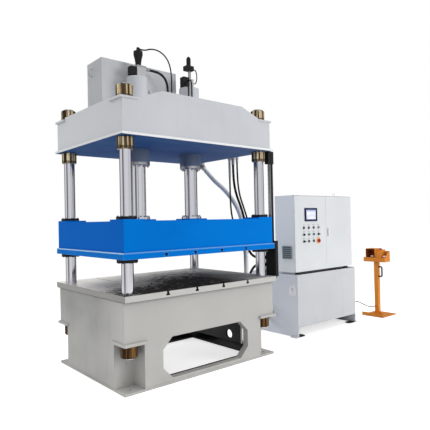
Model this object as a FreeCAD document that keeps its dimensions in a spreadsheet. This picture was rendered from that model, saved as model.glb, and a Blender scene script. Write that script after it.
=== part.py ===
# Four-column hydraulic press with its power unit and its two-hand pedestal.
# Millimetres. X runs along the table's length, -Y is the operator's side, +Z is up.
# The origin is on the floor, under the middle of the table.
import FreeCAD, Part
import math
import os
import re
import Sketcher

Vector = FreeCAD.Vector
Rotation = FreeCAD.Rotation
Placement = FreeCAD.Placement

# ---------------------------------------------------------------- driving dimensions
SIZES = {
    # table and bed
    "table_len": 1800, "table_wid": 1400, "table_thk": 55, "table_top": 820,
    "slot_pitch": 320, "slot_neck": 22, "slot_head": 37, "slot_head_high": 16, "slot_depth": 36,
    "base_in_x": 10, "base_in_y": 45, "base_len": "=table_len - 2*base_in_x",
    "base_wid": "=table_wid - 2*base_in_y", "base_thk": 20, "base_rim_x": 205, "base_rim_y": 170,
    "anchor_dia": 34,
    "bed_in_x": 12, "bed_in_y": 47, "bed_len": "=table_len - 2*bed_in_x",
    "bed_wid": "=table_wid - 2*bed_in_y", "bed_plate": 25,
    "window_len": 1020, "window_low": 50, "window_high": 410, "window_corner": 100,
    "window_rim": 30, "window_deep": 68, "end_window_wid": 620,
    "rib_pitch": 980, "rib_low": 166, "rib_hole_dia": 95, "rib_hole_pitch": 810, "rib_hole_z": 235,
    "pocket_len": 213, "pocket_wid": 198, "pocket_wall": 20,
    "seat_top": 426, "seat_thk": 25, "seat_over_x": 12, "seat_over_y": 31,
    # columns and their nuts
    "column_in_x": 100, "column_in_y": 126, "column_pitch_x": "=table_len - 2*column_in_x",
    "column_pitch_y": "=table_wid - 2*column_in_y", "column_dia": 105, "thread_dia": 100,
    "thread_gap": 0.2, "thread_end": 11,
    "nut_dia": 145, "nut_high": 110, "nut_chamfer": 8, "nut_slot_wid": 14, "nut_slot_deep": 8,
    "nut_slots": 8,
    # crown
    "crown_low": 2142, "crown_in_y": 7.5, "crown_len": "=table_len",
    "crown_wid": "=table_wid - 2*crown_in_y", "crown_base_thk": 22, "crown_lip_x": 20,
    "crown_lip_y": 23.5, "crown_box_len": "=crown_len - 2*crown_lip_x",
    "crown_box_wid": "=crown_wid - 2*crown_lip_y", "crown_plate": 20,
    "crown_shoulder": 2464, "crown_peak": 2559, "crown_flat_len": 962, "crown_end_top": 2481,
    "corner_plate_len": 175, "corner_plate_wid": 198, "corner_plate_over": 6,
    "roof_thk": 10, "roof_drop": 2,
    # main cylinders
    "cylinder_pitch": 656, "cylinder_dia": 215, "cylinder_collar_dia": 229, "cylinder_low": 2010,
    "cylinder_top": 2862, "cylinder_cap": 60, "cylinder_bore": 160, "gland_thk": 28,
    "rod_dia": 140, "rod_gap": 0.05, "rod_flange_dia": 215, "rod_flange_thk": 22,
    "piston_low": 2305, "piston_thk": 70, "piston_gap": 0.05, "hole_gap": 1,
    # prefill tank
    "prefill_left": -649, "prefill_len": 895, "prefill_front": 126, "prefill_wid": 312,
    "prefill_top": 3046, "prefill_wall": 5,
    # slide
    "slide_low": 1112, "platen_in_y": 12, "platen_wid": "=table_wid - 2*platen_in_y",
    "platen_thk": 58, "slide_in_x": 14, "slide_in_y": 28, "slide_len": "=table_len - 2*slide_in_x",
    "slide_wid": "=table_wid - 2*slide_in_y", "slide_top": 1431,
    "corner_pad_thk": 15, "corner_pad_len": 196, "corner_pad_wid": 231, "rod_pad": 240,
    "bush_dia": 145, "bush_gap": 0.05, "wiper_dia": 175, "wiper_thk": 24,
    "lower_cover_dia": 178, "lower_cover_thk": 30,
    "striker_thk": 24, "striker_wid": 50, "striker_low": 1175, "striker_high": 70,
    # scale rail and limit switches
    "rail_out": 32, "rail_in": 97, "rail_x": "=table_len/2 + rail_out",
    "rail_y": "=rail_in - table_wid/2", "rail_wid": 36, "rail_thk": 10, "rail_low": 1190,
    "cover_strip_wid": 24, "strip_in": 60, "cover_strip_y": "=strip_in - table_wid/2",
    "upper_switch_len": 80, "upper_switch_wid": 55, "upper_switch_high": 132,
    "lower_switch_len": 40, "lower_switch_wid": 145, "lower_switch_low": 815,
    "switch_in": 83, "lower_switch_y": "=switch_in - table_wid/2",
    "conduit_upper_z": 1009, "conduit_lower_z": 930,
    # hose brackets under the crown's right end
    "bracket_reach": 100, "bracket_thk": 12, "front_bracket_wid": 240, "front_bracket_y": -10,
    "rear_bracket_wid": 110, "return_in": 98, "return_y": "=crown_box_wid/2 - return_in",
    "fitting_out": 54, "fitting_x": "=crown_len/2 + fitting_out",
    "pilot_front_y": -79, "pilot_rear_y": 51, "conduit_y": -10,
    "sleeve_front": 78, "sleeve_rear": 230, "sleeve_conduit": 94,
    "pilot_dia": 20, "conduit_dia": 28, "return_dia": 54,
    "valve_cable_dia": 14, "valve_hose_dia": 24, "pedestal_cable_dia": 12,
    "return_port_y": 62, "return_port_z": 190, "return_port_long": 60, "port_long": 40,
    "rear_port_y": 190, "front_port_y": 130, "pilot_port_z": 400,
    "conduit_port_y": -20, "conduit_port_z": 250,
    # power unit
    "tank_left": 1568, "tank_len": 1208, "tank_front": -434, "tank_wid": 760,
    "tank_low": 115, "tank_top": 742, "tank_wall": 6, "tank_side_thk": 14, "tank_cover_thk": 6,
    "cable_y": -395, "cable_out_z": 270, "cable_in_z": 135,
    "cabinet_out": 23, "cabinet_left": "=tank_left - cabinet_out", "cabinet_len": 1170,
    "cabinet_deep": 315, "cabinet_low": 775, "cabinet_top": 1705, "cabinet_wall": 4,
    "cabinet_lip": 22,
    "door_thk": 22, "door_skin": 3, "door_gap": 0.5, "door_split": 610, "door_rim": 8,
    "hinge_dia": 12, "hinge_pin_dia": 6, "hinge_pin_gap": 0.1, "hinge_long": 36,
    "screen_in": 183, "screen_left": "=cabinet_left + screen_in", "screen_len": 241,
    "screen_low": 1387, "screen_high": 162, "screen_thk": 9,
    "control_in": 163, "control_x": "=cabinet_left + control_in", "control_pitch": 95,
    "lamp_row": 1308, "upper_row": 1225, "lower_row": 1143,
    "control_hole": 22.5, "barrel_dia": 22, "bezel_dia": 34, "bezel_thk": 5, "cap_dia": 24,
    "cap_high": 10, "mushroom_dia": 44, "press_travel": 4, "control_gap": 0.3,
    "handle_in": 651, "handle_x": "=cabinet_left + handle_in", "handle_low": 1191,
    "handle_high": 102, "handle_wid": 26,
    "vent_low": 937, "vent_high": 153, "vent_wid": 140, "vent_thk": 12,
    "motor_dia": 250, "motor_len": 380, "motor_in": 492, "motor_x": "=tank_left + motor_in",
    "motor_y": 110, "motor_z": 900,
    # pedestal
    "pedestal_x": 3399, "pedestal_y": -402, "post_wide": 58, "post_wall": 5,
    "foot_wid": 330, "foot_len": 380, "foot_ahead": 40, "foot_thk": 10, "foot_bar_high": 50,
    "foot_bar_thk": 8,
    "tray_low": 776, "tray_high": 60, "tray_wid": 330, "tray_len": 150, "tray_wall": 3,
    "hood_in": 36, "hood_wid": 146, "hood_high": 128, "hood_sheet": 4, "switch_box_wid": 80,
    "palm_dia": 58, "palm_travel": 5,
    "grip_dia": 20, "grip_low": 562, "grip_high": 140, "grip_out": 50,
}

doc = FreeCAD.newDocument("hydraulic_press")
sheet = doc.addObject("Spreadsheet::Sheet", "dims")
for row, (alias, size) in enumerate(SIZES.items(), start=1):
    sheet.set(f"A{row}", alias)
    sheet.set(f"B{row}", str(size))
    sheet.setAlias(f"B{row}", alias)
doc.recompute()


# ---------------------------------------------------------------- ways of making a piece
TURNS = {
    "Z": Rotation(),
    "X": Rotation(Vector(0, 1, 0), 90),
    "Y": Rotation(Vector(1, 0, 0), -90),
    "-Y": Rotation(Vector(1, 0, 0), 90),
    "-X": Rotation(Vector(0, 1, 0), -90),
    "-Z": Rotation(Vector(1, 0, 0), 180),
}
PLANES = {
    "XY": Rotation(),
    "XZ": Rotation(Vector(1, 0, 0), 90),
    "YZ": Rotation(Vector(1, 1, 1), 120),
}
OUT_OF = {"XY": Vector(0, 0, 1), "XZ": Vector(0, 1, 0), "YZ": Vector(1, 0, 0)}


def bound(text):
    """An expression in which each named size is read from the sheet."""
    return re.sub(r"[a-z_]+", lambda word: "dims." * (word[0] in SIZES) + word[0], str(text))


def number(text):
    """The present value of an expression, for a first draft of a sketch."""
    return float(sheet.evalExpression(bound(text)))


def put(piece, spot, turn=None):
    """Places a piece at a spot that follows the sheet."""
    piece.Placement = Placement(Vector(), turn or Rotation())
    for letter, text in zip("xyz", spot):
        piece.setExpression(f"Placement.Base.{letter}", bound(text))
    return piece


def block(name, across, along, up):
    """A plate or block between two faces each way."""
    piece = doc.addObject("Part::Box", name)
    for side, (low, high) in zip(("Length", "Width", "Height"), (across, along, up)):
        piece.setExpression(side, bound(f"({high}) - ({low})"))
    return put(piece, (across[0], along[0], up[0]))


def middle(centre, width):
    """The two faces of a width about a centre."""
    return (f"({centre}) - ({width})/2", f"({centre}) + ({width})/2")


def side(sign, near, far):
    """Two faces at near and far from the middle plane, on one side of it."""
    return (near, far) if sign > 0 else (f"-({far})", f"-({near})")


def rod(name, dia, length, spot, axis="Z"):
    """A round bar from a spot along an axis."""
    piece = doc.addObject("Part::Cylinder", name)
    piece.setExpression("Radius", bound(f"({dia})/2"))
    piece.setExpression("Height", bound(length))
    return put(piece, spot, TURNS[axis])


def outline(name, points, plane):
    """A closed sketch through points that follow the sheet."""
    sketch = doc.addObject("Sketcher::SketchObject", name)
    drafts = [Vector(number(first), number(second), 0) for first, second in points]
    for here, there in zip(drafts, drafts[1:] + drafts[:1]):
        sketch.addGeometry(Part.LineSegment(here, there), False)
    for index, (first, second) in enumerate(points):
        before = (index - 1) % len(points)
        sketch.addConstraint(Sketcher.Constraint("Coincident", before, 2, index, 1))
        for kind, text, draft in (("DistanceX", first, drafts[index].x),
                                  ("DistanceY", second, drafts[index].y)):
            rule = sketch.addConstraint(Sketcher.Constraint(kind, -1, 1, index, 1, draft))
            sketch.setExpression(f"Constraints[{rule}]", bound(text))
    sketch.Placement = Placement(Vector(), PLANES[plane])
    return sketch


def extruded(name, points, plane, start, thick):
    """A plate of one outline, from start, as thick as said, out of its plane."""
    piece = doc.addObject("Part::Extrusion", name)
    piece.Base = outline(name + "_outline", points, plane)
    piece.DirMode = "Custom"
    piece.Dir = OUT_OF[plane]
    piece.Solid = True
    piece.setExpression("LengthFwd", bound(thick))
    letter = {"XY": "z", "XZ": "y", "YZ": "x"}[plane]
    piece.setExpression(f"Placement.Base.{letter}", bound(start))
    return piece


def turned(name, points, spot, axis="Z"):
    """A turned piece: its half section (radius, height) spun about its axis."""
    piece = doc.addObject("Part::Revolution", name)
    piece.Source = outline(name + "_section", points, "XZ")
    piece.Axis = Vector(0, 0, 1)
    piece.Base = Vector(0, 0, 0)
    piece.Angle = 360
    piece.Solid = True
    return put(piece, spot, TURNS[axis])


def joined(name, *pieces):
    whole = doc.addObject("Part::MultiFuse", name)
    whole.Shapes = list(pieces)
    whole.Refine = True
    return whole


def cut(name, piece, *tools):
    whole = doc.addObject("Part::Cut", name)
    whole.Base = piece
    whole.Tool = tools[0] if len(tools) == 1 else joined(name + "_tools", *tools)
    return whole


def group(name, *pieces):
    """Separate solids of one kind, kept under one name."""
    whole = doc.addObject("Part::Compound", name)
    whole.Links = list(pieces)
    return whole


def copy(name, form, spot, turn=None):
    """One more of a form, at a spot of its own."""
    piece = doc.addObject("App::Link", name)
    piece.LinkedObject = form
    piece.LinkTransform = False
    return put(piece, spot, turn)


def rounded(name, piece, radius, wanted):
    """Rounds the edges whose middle passes the test, all to one radius."""
    doc.recompute()
    size = number(radius)
    edges = []
    for index, edge in enumerate(piece.Shape.Edges, start=1):
        if wanted(edge):
            edges.append((index, size, size))
    whole = doc.addObject("Part::Fillet", name)
    whole.Base = piece
    whole.Edges = edges
    return whole


CORNERS = [(-1, -1, "front_left"), (1, -1, "front_right"),
           (-1, 1, "back_left"), (1, 1, "back_right")]
SIDES = [(-1, "left"), (1, "right")]
WALLS = [(-1, "front"), (1, "back")]

# ---------------------------------------------------------------- bed
bed_under = "table_top - table_thk"
face_x = "bed_len/2"
face_y = "bed_wid/2"
pocket_x = f"({face_x} - pocket_len)"
pocket_y = f"({face_y} - pocket_wid)"
inner_y = f"({face_y} - bed_plate)"


def corner_spots(z):
    """The four column centres at one height."""
    return [((f"{sx}*column_pitch_x/2", f"{sy}*column_pitch_y/2", z), where)
            for sx, sy, where in CORNERS]


def base_plate():
    """A floor ring with wide corners, drilled under each column for its anchor bolt."""
    plate = block("base_sheet", middle(0, "base_len"), middle(0, "base_wid"), (0, "base_thk"))
    opening = block("base_opening", middle(0, "base_len - 2*base_rim_x"),
                    middle(0, "base_wid - 2*base_rim_y"), (-1, "base_thk + 1"))
    holes = [rod(f"anchor_hole_{where}", "anchor_dia", "base_thk + 2", spot)
             for spot, where in corner_spots(-1)]
    return cut("base_plate", plate, opening, *holes)


def octagon(half, low, high, corner):
    """A window with its four corners cut off, in the first and second axis of its plane."""
    return [(f"-({half}) + {corner}", low), (f"{half} - {corner}", low),
            (half, f"{low} + {corner}"), (half, f"{high} - {corner}"),
            (f"{half} - {corner}", high), (f"-({half}) + {corner}", high),
            (f"-({half})", f"{high} - {corner}"), (f"-({half})", f"{low} + {corner}")]


def bed_window_plate(sign, where):
    """The long wall with its stiffened octagon window, notched over the corner seats."""
    shape = [(f"-{pocket_x}", "base_thk"), (pocket_x, "base_thk"), (pocket_x, "seat_top"),
             (face_x, "seat_top"), (face_x, bed_under), (f"-({face_x})", bed_under),
             (f"-({face_x})", "seat_top"), (f"-{pocket_x}", "seat_top")]
    near, far = side(sign, inner_y, face_y)
    wall = extruded(f"bed_wall_{where}", shape, "XZ", near, "bed_plate")
    low, high = side(sign, f"{face_y} - window_deep", inner_y)
    rim = octagon("(window_len/2 + window_rim)", "base_thk", "(window_high + window_rim)",
                  "window_corner")
    frame = extruded(f"window_frame_{where}", rim, "XZ", low, "window_deep - bed_plate")
    hole = extruded(f"window_hole_{where}",
                    octagon("window_len/2", "window_low", "window_high", "window_corner"),
                    "XZ", f"-({face_y})", "bed_wid")
    room = [rod(f"column_room_{where}_{end}", "column_dia + 2*hole_gap", "table_top - seat_top",
                (f"{sx}*column_pitch_x/2", f"{sign}*column_pitch_y/2", "seat_top"))
            for sx, end in SIDES]
    return cut(f"bed_window_plate_{where}", joined(f"bed_wall_framed_{where}", wall, frame), hole,
               *room)


def bed_end_plate(sign, where):
    """The short wall between the long ones, with a smaller window on the right."""
    shape = [(f"-{pocket_y}", "base_thk"), (pocket_y, "base_thk"), (pocket_y, "seat_top"),
             (inner_y, "seat_top"), (inner_y, bed_under), (f"-{inner_y}", bed_under),
             (f"-{inner_y}", "seat_top"), (f"-{pocket_y}", "seat_top")]
    near, far = side(sign, f"{face_x} - bed_plate", face_x)
    wall = extruded(f"bed_end_{where}", shape, "YZ", near, "bed_plate")
    if sign < 0:
        return wall
    hole = extruded("end_window_hole",
                    octagon("end_window_wid/2", "window_low", "window_high", "window_corner"),
                    "YZ", 0, "bed_len")
    return cut("bed_end_right_windowed", wall, hole)


def bed_rib(sign, where):
    """An inner cross plate under the table, clear of the floor, with two round holes."""
    short = f"({face_y} - window_deep)"
    step = "(window_high + window_rim)"
    shape = [(f"-{short}", "rib_low"), (short, "rib_low"), (short, step), (inner_y, step),
             (inner_y, bed_under), (f"-{inner_y}", bed_under), (f"-{inner_y}", step),
             (f"-{short}", step)]
    near, far = side(sign, "rib_pitch/2 - bed_plate/2", "rib_pitch/2 + bed_plate/2")
    wall = extruded(f"rib_sheet_{where}", shape, "YZ", near, "bed_plate")
    holes = [rod(f"rib_hole_{where}_{edge}", "rib_hole_dia", "bed_plate + 2",
                 (f"{near} - 1", f"{sy}*rib_hole_pitch/2", "rib_hole_z"), "X")
             for sy, edge in WALLS]
    return cut(f"bed_rib_{where}", wall, *holes)


def corner_seat(sx, sy, where):
    """Two short walls and the shelf that carries one column's shoulder."""
    across = side(sx, pocket_x, f"{face_x} + seat_over_x")
    along = side(sy, pocket_y, f"{face_y} + seat_over_y")
    shelf = block(f"seat_shelf_{where}", across, along, ("seat_top - seat_thk", "seat_top"))
    tall = ("base_thk", "seat_top - seat_thk")
    cross = block(f"seat_cross_{where}", side(sx, pocket_x, f"{pocket_x} + pocket_wall"),
                  side(sy, pocket_y, face_y), tall)
    along_wall = block(f"seat_along_{where}", side(sx, f"{pocket_x} + pocket_wall", face_x),
                       side(sy, pocket_y, f"{pocket_y} + pocket_wall"), tall)
    hole = rod(f"seat_hole_{where}", "thread_dia + 2*hole_gap", "seat_thk + 2",
               (f"{sx}*column_pitch_x/2", f"{sy}*column_pitch_y/2", "seat_top - seat_thk - 1"))
    return cut(f"corner_seat_{where}", joined(f"seat_whole_{where}", shelf, cross, along_wall), hole)


def tee_slots(name, face, inward):
    """The tools that cut four T-slots along Y into a flat face."""
    neck = "slot_depth - slot_head_high"
    tools = []
    for index, share in enumerate((-1.5, -0.5, 0.5, 1.5)):
        x = f"({share}*slot_pitch)"
        rows = [(f"{x} - slot_neck/2", "-1"), (f"{x} + slot_neck/2", "-1"),
                (f"{x} + slot_neck/2", neck), (f"{x} + slot_head/2", neck),
                (f"{x} + slot_head/2", "slot_depth"), (f"{x} - slot_head/2", "slot_depth"),
                (f"{x} - slot_head/2", neck), (f"{x} - slot_neck/2", neck)]
        shape = [(first, f"{face} + {inward}*({second})") for first, second in rows]
        tools.append(extruded(f"{name}_{index + 1}", shape, "XZ", "-table_wid/2 - 1",
                              "table_wid + 2"))
    return tools


group("bed_window_plates", *[bed_window_plate(*wall) for wall in WALLS])
group("bed_cross_plates", *[bed_end_plate(*end) for end in SIDES],
      *[bed_rib(*end) for end in SIDES])
group("bed_corner_seats", *[corner_seat(*corner) for corner in CORNERS])
base_plate()
table_holes = [rod(f"table_hole_{where}", "column_dia + 2*hole_gap", "table_thk + 2", spot)
               for spot, where in corner_spots(f"{bed_under} - 1")]
cut("bolster_plate",
    block("table_block", middle(0, "table_len"), middle(0, "table_wid"), (bed_under, "table_top")),
    *tee_slots("table_slot", "table_top", -1), *table_holes)

# ---------------------------------------------------------------- columns and nuts
nut_seats = {"bed": "seat_top - seat_thk - nut_high", "low": "crown_low - nut_high",
             "top": "crown_shoulder"}
column_low = f"{nut_seats['bed']} - thread_end"
column_top = "crown_shoulder + nut_high + thread_end"


def column(spot, where):
    """A chromed bar, thinner where it is threaded, with a shoulder on the seat."""
    full, thread = "column_dia/2", "thread_dia/2"
    half = [(0, column_low), (f"{thread} - 3", column_low), (thread, f"{column_low} + 3"),
            (thread, "seat_top"), (full, "seat_top"), (full, nut_seats["low"]),
            (thread, nut_seats["low"]), (thread, f"{column_top} - 3"),
            (f"{thread} - 3", column_top), (0, column_top)]
    return turned(f"column_{where}", half, spot)


def nut_form():
    """A round nut with chamfered rims and slots for a hook spanner."""
    bore, outer = "thread_dia/2 + thread_gap/2", "nut_dia/2"
    half = [(bore, 0), (f"{outer} - nut_chamfer", 0), (outer, "nut_chamfer"),
            (outer, "nut_high - nut_chamfer"), (f"{outer} - nut_chamfer", "nut_high"),
            (bore, "nut_high")]
    blank = turned("nut_blank", half, (0, 0, 0))
    reach = f"({outer} - nut_slot_deep)"
    slots = []
    for index in range(int(SIZES["nut_slots"])):
        angle = 2 * math.pi * (index + 0.5) / SIZES["nut_slots"]
        east, north = round(math.cos(angle), 6), round(math.sin(angle), 6)
        slot = block(f"nut_slot_{index + 1}", (0, "nut_slot_deep + 1"), (0, "nut_slot_wid"),
                     (-1, "nut_high + 1"))
        spot = (f"{east}*{reach} + {north}*nut_slot_wid/2",
                f"{north}*{reach} - {east}*nut_slot_wid/2", -1)
        slots.append(put(slot, spot, Rotation(Vector(0, 0, 1), math.degrees(angle))))
    return cut("nut_form", blank, *slots)


group("columns", *[column(spot, where) for spot, where in corner_spots(0)])
nut = nut_form()
group("column_nuts", *[copy(f"nut_{level}_{where}", nut, spot)
                       for level, seat in nut_seats.items()
                       for spot, where in corner_spots(seat)])

# ---------------------------------------------------------------- crown
crown_deck = "(crown_low + crown_base_thk)"
crown_x, crown_y = "(crown_box_len/2)", "(crown_box_wid/2)"
gable_in = f"({crown_y} - crown_plate)"
shelf_low = "(crown_shoulder - crown_plate)"
shelf_x = "(crown_len/2 - corner_plate_len)"
shelf_y = f"({crown_y} + corner_plate_over - corner_plate_wid)"


def crown_base():
    """The thick bottom plate, bored for the columns and the two cylinders."""
    plate = block("crown_base_sheet", middle(0, "crown_len"), middle(0, "crown_wid"),
                  ("crown_low", crown_deck))
    holes = [rod(f"crown_base_hole_{where}", "thread_dia + 2*hole_gap", "crown_base_thk + 2", spot)
             for spot, where in corner_spots("crown_low - 1")]
    holes += [rod(f"cylinder_hole_{where}", "cylinder_dia + 2*hole_gap", "crown_base_thk + 2",
                  (f"{sx}*cylinder_pitch/2", 0, "crown_low - 1")) for sx, where in SIDES]
    return cut("crown_base_plate", plate, *holes)


def gable_plate(sign, where):
    """The long side plate with its low gable."""
    peak = "crown_flat_len/2"
    half = [(crown_x, crown_deck), (crown_x, shelf_low), (shelf_x, shelf_low),
            (shelf_x, "crown_shoulder"), (peak, "crown_peak")]
    shape = half + [(f"-({first})", second) for first, second in reversed(half)]
    near, far = side(sign, gable_in, crown_y)
    return extruded(f"gable_plate_{where}", shape, "XZ", near, "crown_plate")


def crown_end(sign, where):
    """The end plate, higher between the corner plates."""
    half = [(gable_in, crown_deck), (gable_in, shelf_low), (shelf_y, shelf_low),
            (shelf_y, "crown_end_top")]
    shape = half + [(f"-({first})", second) for first, second in reversed(half)]
    near, far = side(sign, f"{crown_x} - crown_plate", crown_x)
    return extruded(f"crown_end_{where}", shape, "YZ", near, "crown_plate")


def crown_rib(sign, where):
    """The inner cross plate beside the columns, under corner plates and roof."""
    half = [(gable_in, crown_deck), (gable_in, shelf_low), (shelf_y, shelf_low),
            (shelf_y, "crown_shoulder - roof_drop - roof_thk")]
    shape = half + [(f"-({first})", second) for first, second in reversed(half)]
    near, far = side(sign, shelf_x, f"{shelf_x} + crown_plate")
    return extruded(f"crown_rib_{where}", shape, "YZ", near, "crown_plate")


def corner_plate(sx, sy, where):
    """The plate under the top nut of one column."""
    plate = block(f"corner_sheet_{where}", side(sx, shelf_x, "crown_len/2"),
                  side(sy, shelf_y, f"{crown_y} + corner_plate_over"),
                  (shelf_low, "crown_shoulder"))
    hole = rod(f"corner_hole_{where}", "thread_dia + 2*hole_gap", "crown_plate + 2",
               (f"{sx}*column_pitch_x/2", f"{sy}*column_pitch_y/2", f"{shelf_low} - 1"))
    return cut(f"corner_plate_{where}", plate, hole)


def crown_roof():
    """One sheet bent to the gables, with flat ends between the corner plates."""
    end_x, peak = f"({crown_x} - crown_plate)", "crown_flat_len/2"
    eave, ridge = "crown_shoulder - roof_drop", "crown_peak - roof_drop"
    top = [(end_x, eave), (shelf_x, eave), (peak, ridge)]
    upper = top + [(f"-({first})", second) for first, second in reversed(top)]
    lower = [(first, f"{second} - roof_thk") for first, second in reversed(upper)]
    roof = extruded("roof_sheet", upper + lower, "XZ", f"-{gable_in}", f"2*{gable_in}")
    corners = [block(f"roof_corner_{where}", side(sx, shelf_x, f"{crown_x} + 1"),
                     side(sy, shelf_y, f"{crown_y} + 1"), (shelf_low, "crown_peak"))
               for sx, sy, where in CORNERS]
    holes = [rod(f"roof_hole_{where}", "cylinder_dia + 2*hole_gap", "crown_peak - crown_low",
                 (f"{sx}*cylinder_pitch/2", 0, crown_deck)) for sx, where in SIDES]
    return cut("crown_roof", roof, *corners, *holes)


def main_cylinder(sign, where):
    """A barrel with its flange under the crown, blind at the top."""
    barrel, bore, flange = "cylinder_dia/2", "cylinder_bore/2", "cylinder_collar_dia/2"
    roof = "cylinder_top - cylinder_cap"
    half = [(bore, "cylinder_low"), (flange, "cylinder_low"), (flange, "crown_low"),
            (barrel, "crown_low"), (barrel, "cylinder_top - 4"), (f"{barrel} - 4", "cylinder_top"),
            (0, "cylinder_top"), (0, roof), (bore, roof)]
    return turned(f"cylinder_{where}", half, (f"{sign}*cylinder_pitch/2", 0, 0))


def cylinder_gland(sign, where):
    """The bolted ring that guides the rod at the cylinder's mouth."""
    bore, flange = "rod_dia/2 + rod_gap", "cylinder_collar_dia/2"
    low = "cylinder_low - gland_thk"
    half = [(bore, low), (f"{flange} - 3", low), (flange, f"{low} + 3"),
            (flange, "cylinder_low"), (bore, "cylinder_low")]
    ring = turned(f"gland_ring_{where}", half, (f"{sign}*cylinder_pitch/2", 0, 0))
    return ring


crown_base()
group("crown_gable_plates", *[gable_plate(*wall) for wall in WALLS])
group("crown_cross_plates", *[crown_end(*end) for end in SIDES], *[crown_rib(*end) for end in SIDES])
group("crown_corner_plates", *[corner_plate(*corner) for corner in CORNERS])
crown_roof()
group("main_cylinders", *[main_cylinder(*end) for end in SIDES])
group("cylinder_glands", *[cylinder_gland(*end) for end in SIDES])

# ---------------------------------------------------------------- slide
platen_top = "(slide_low + platen_thk)"
pad_top = "(slide_top + corner_pad_thk)"


def piston_rod(sign, where):
    """A rod with its foot flange on the slide and its piston in the cylinder."""
    bar, flange, piston = "rod_dia/2", "rod_flange_dia/2", "cylinder_bore/2 - piston_gap"
    foot, head = pad_top, "piston_low + piston_thk"
    half = [(0, foot), (flange, foot), (flange, f"{foot} + rod_flange_thk"),
            (bar, f"{foot} + rod_flange_thk"), (bar, "piston_low"), (piston, "piston_low"),
            (piston, head), (0, head)]
    return turned(f"piston_rod_{where}", half, (f"{sign}*cylinder_pitch/2", 0, 0))


def slide_frame():
    """The blue welded body over the platen, with machined pads and the switch striker."""
    body = block("slide_body", middle(0, "slide_len"), middle(0, "slide_wid"),
                 (platen_top, "slide_top"))
    pads = [block(f"corner_pad_{where}", side(sx, "slide_len/2 - corner_pad_len", "slide_len/2"),
                  side(sy, "slide_wid/2 - corner_pad_wid", "slide_wid/2"), ("slide_top", pad_top))
            for sx, sy, where in CORNERS]
    pads += [block(f"rod_pad_{where}", middle(f"{sx}*cylinder_pitch/2", "rod_pad"),
                   middle(0, "rod_pad"), ("slide_top", pad_top)) for sx, where in SIDES]
    striker = block("striker", ("slide_len/2", "slide_len/2 + striker_thk"),
                    middle("rail_y - 22", "striker_wid"),
                    ("striker_low", "striker_low + striker_high"))
    holes = [rod(f"guide_hole_{where}", "bush_dia", f"{pad_top} - {platen_top} + 2", spot)
             for spot, where in corner_spots(f"{platen_top} - 1")]
    return cut("slide_frame", joined("slide_welded", body, striker, *pads), *holes)


def ring(name, outer, bore, low, high, spot, edge=2):
    """A turned ring with a small chamfer on its outer rims."""
    half = [(bore, low), (f"{outer} - {edge}", low), (outer, f"{low} + {edge}"),
            (outer, f"{high} - {edge}"), (f"{outer} - {edge}", high), (bore, high)]
    return turned(name, half, (spot[0], spot[1], 0))


group("piston_rods", *[piston_rod(*end) for end in SIDES])
slide_frame()
platen_holes = [rod(f"platen_hole_{where}", "bush_dia", "platen_thk + 2", spot)
                for spot, where in corner_spots("slide_low - 1")]
cut("slide_platen",
    block("platen_block", middle(0, "table_len"), middle(0, "platen_wid"), ("slide_low", platen_top)),
    *tee_slots("platen_slot", "slide_low", 1), *platen_holes)
running_bore = "(column_dia/2 + bush_gap)"
wiper_bore = "(column_dia/2 + hole_gap)"
group("guide_bushes", *[ring(f"guide_bush_{where}", "bush_dia/2", running_bore, "slide_low", pad_top,
                             spot, edge=0.5) for spot, where in corner_spots(0)])
group("guide_covers",
      *[ring(f"wiper_{where}", "wiper_dia/2", wiper_bore, pad_top, f"({pad_top} + wiper_thk)", spot)
        for spot, where in corner_spots(0)],
      *[ring(f"lower_cover_{where}", "lower_cover_dia/2", wiper_bore,
             "(slide_low - lower_cover_thk)", "slide_low", spot)
        for spot, where in corner_spots(0)])

# ---------------------------------------------------------------- hoses and bent bars
def bent_path(points):
    """Straight runs through the points, joined by arcs as large as the runs allow."""
    edges, radii = [], []
    start = points[0]
    for before, corner, after in zip(points, points[1:], points[2:]):
        into, out = corner - before, after - corner
        turn = into.getAngle(out)
        back = 0.45 * min(into.Length, out.Length)
        radii.append(back / math.tan(turn / 2))
        arc_start = corner - into * (back / into.Length)
        arc_end = corner + out * (back / out.Length)
        inward = (arc_start + arc_end) * 0.5 - corner
        depth = radii[-1] / math.cos(turn / 2) - radii[-1]
        arc_middle = corner + inward * (depth / inward.Length)
        edges.append(Part.LineSegment(start, arc_start).toShape())
        edges.append(Part.Arc(arc_start, arc_middle, arc_end).toShape())
        start = arc_end
    edges.append(Part.LineSegment(start, points[-1]).toShape())
    return Part.Wire(edges), min(radii)


def bent_bar(name, dia, spots):
    """A round bar, pipe or hose along a bent path."""
    points = [Vector(*(number(text) for text in spot)) for spot in spots]
    path, tightest = bent_path(points)
    section = Part.makeCircle(number(dia) / 2, points[0], points[1] - points[0])
    shape = path.makePipeShell([Part.Wire([section])], True, False)
    expected = math.pi * number(dia) ** 2 / 4 * path.Length
    print(f"{name}: length {path.Length:.0f}, tightest radius {tightest:.0f},",
          f"volume off by {abs(shape.Volume / expected - 1) * 100:.3f} %")
    piece = doc.addObject("Part::Feature", name)
    piece.Shape = shape
    piece.Placement = Placement()
    return piece

# ---------------------------------------------------------------- scale rail and limit switches
lower_switch_top = "rail_low"
upper_switch_low = "crown_low - upper_switch_high"


def limit_rail():
    """The pale scale rail and the dark cover strip in front of it."""
    tall = ("rail_low", upper_switch_low)
    rail = block("scale_rail", middle("rail_x", "rail_thk"), middle("rail_y", "rail_wid"), tall)
    strip = block("cover_strip", middle("rail_x", "rail_thk"),
                  middle("cover_strip_y", "cover_strip_wid"), tall)
    return group("limit_rail", rail, strip)


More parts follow.
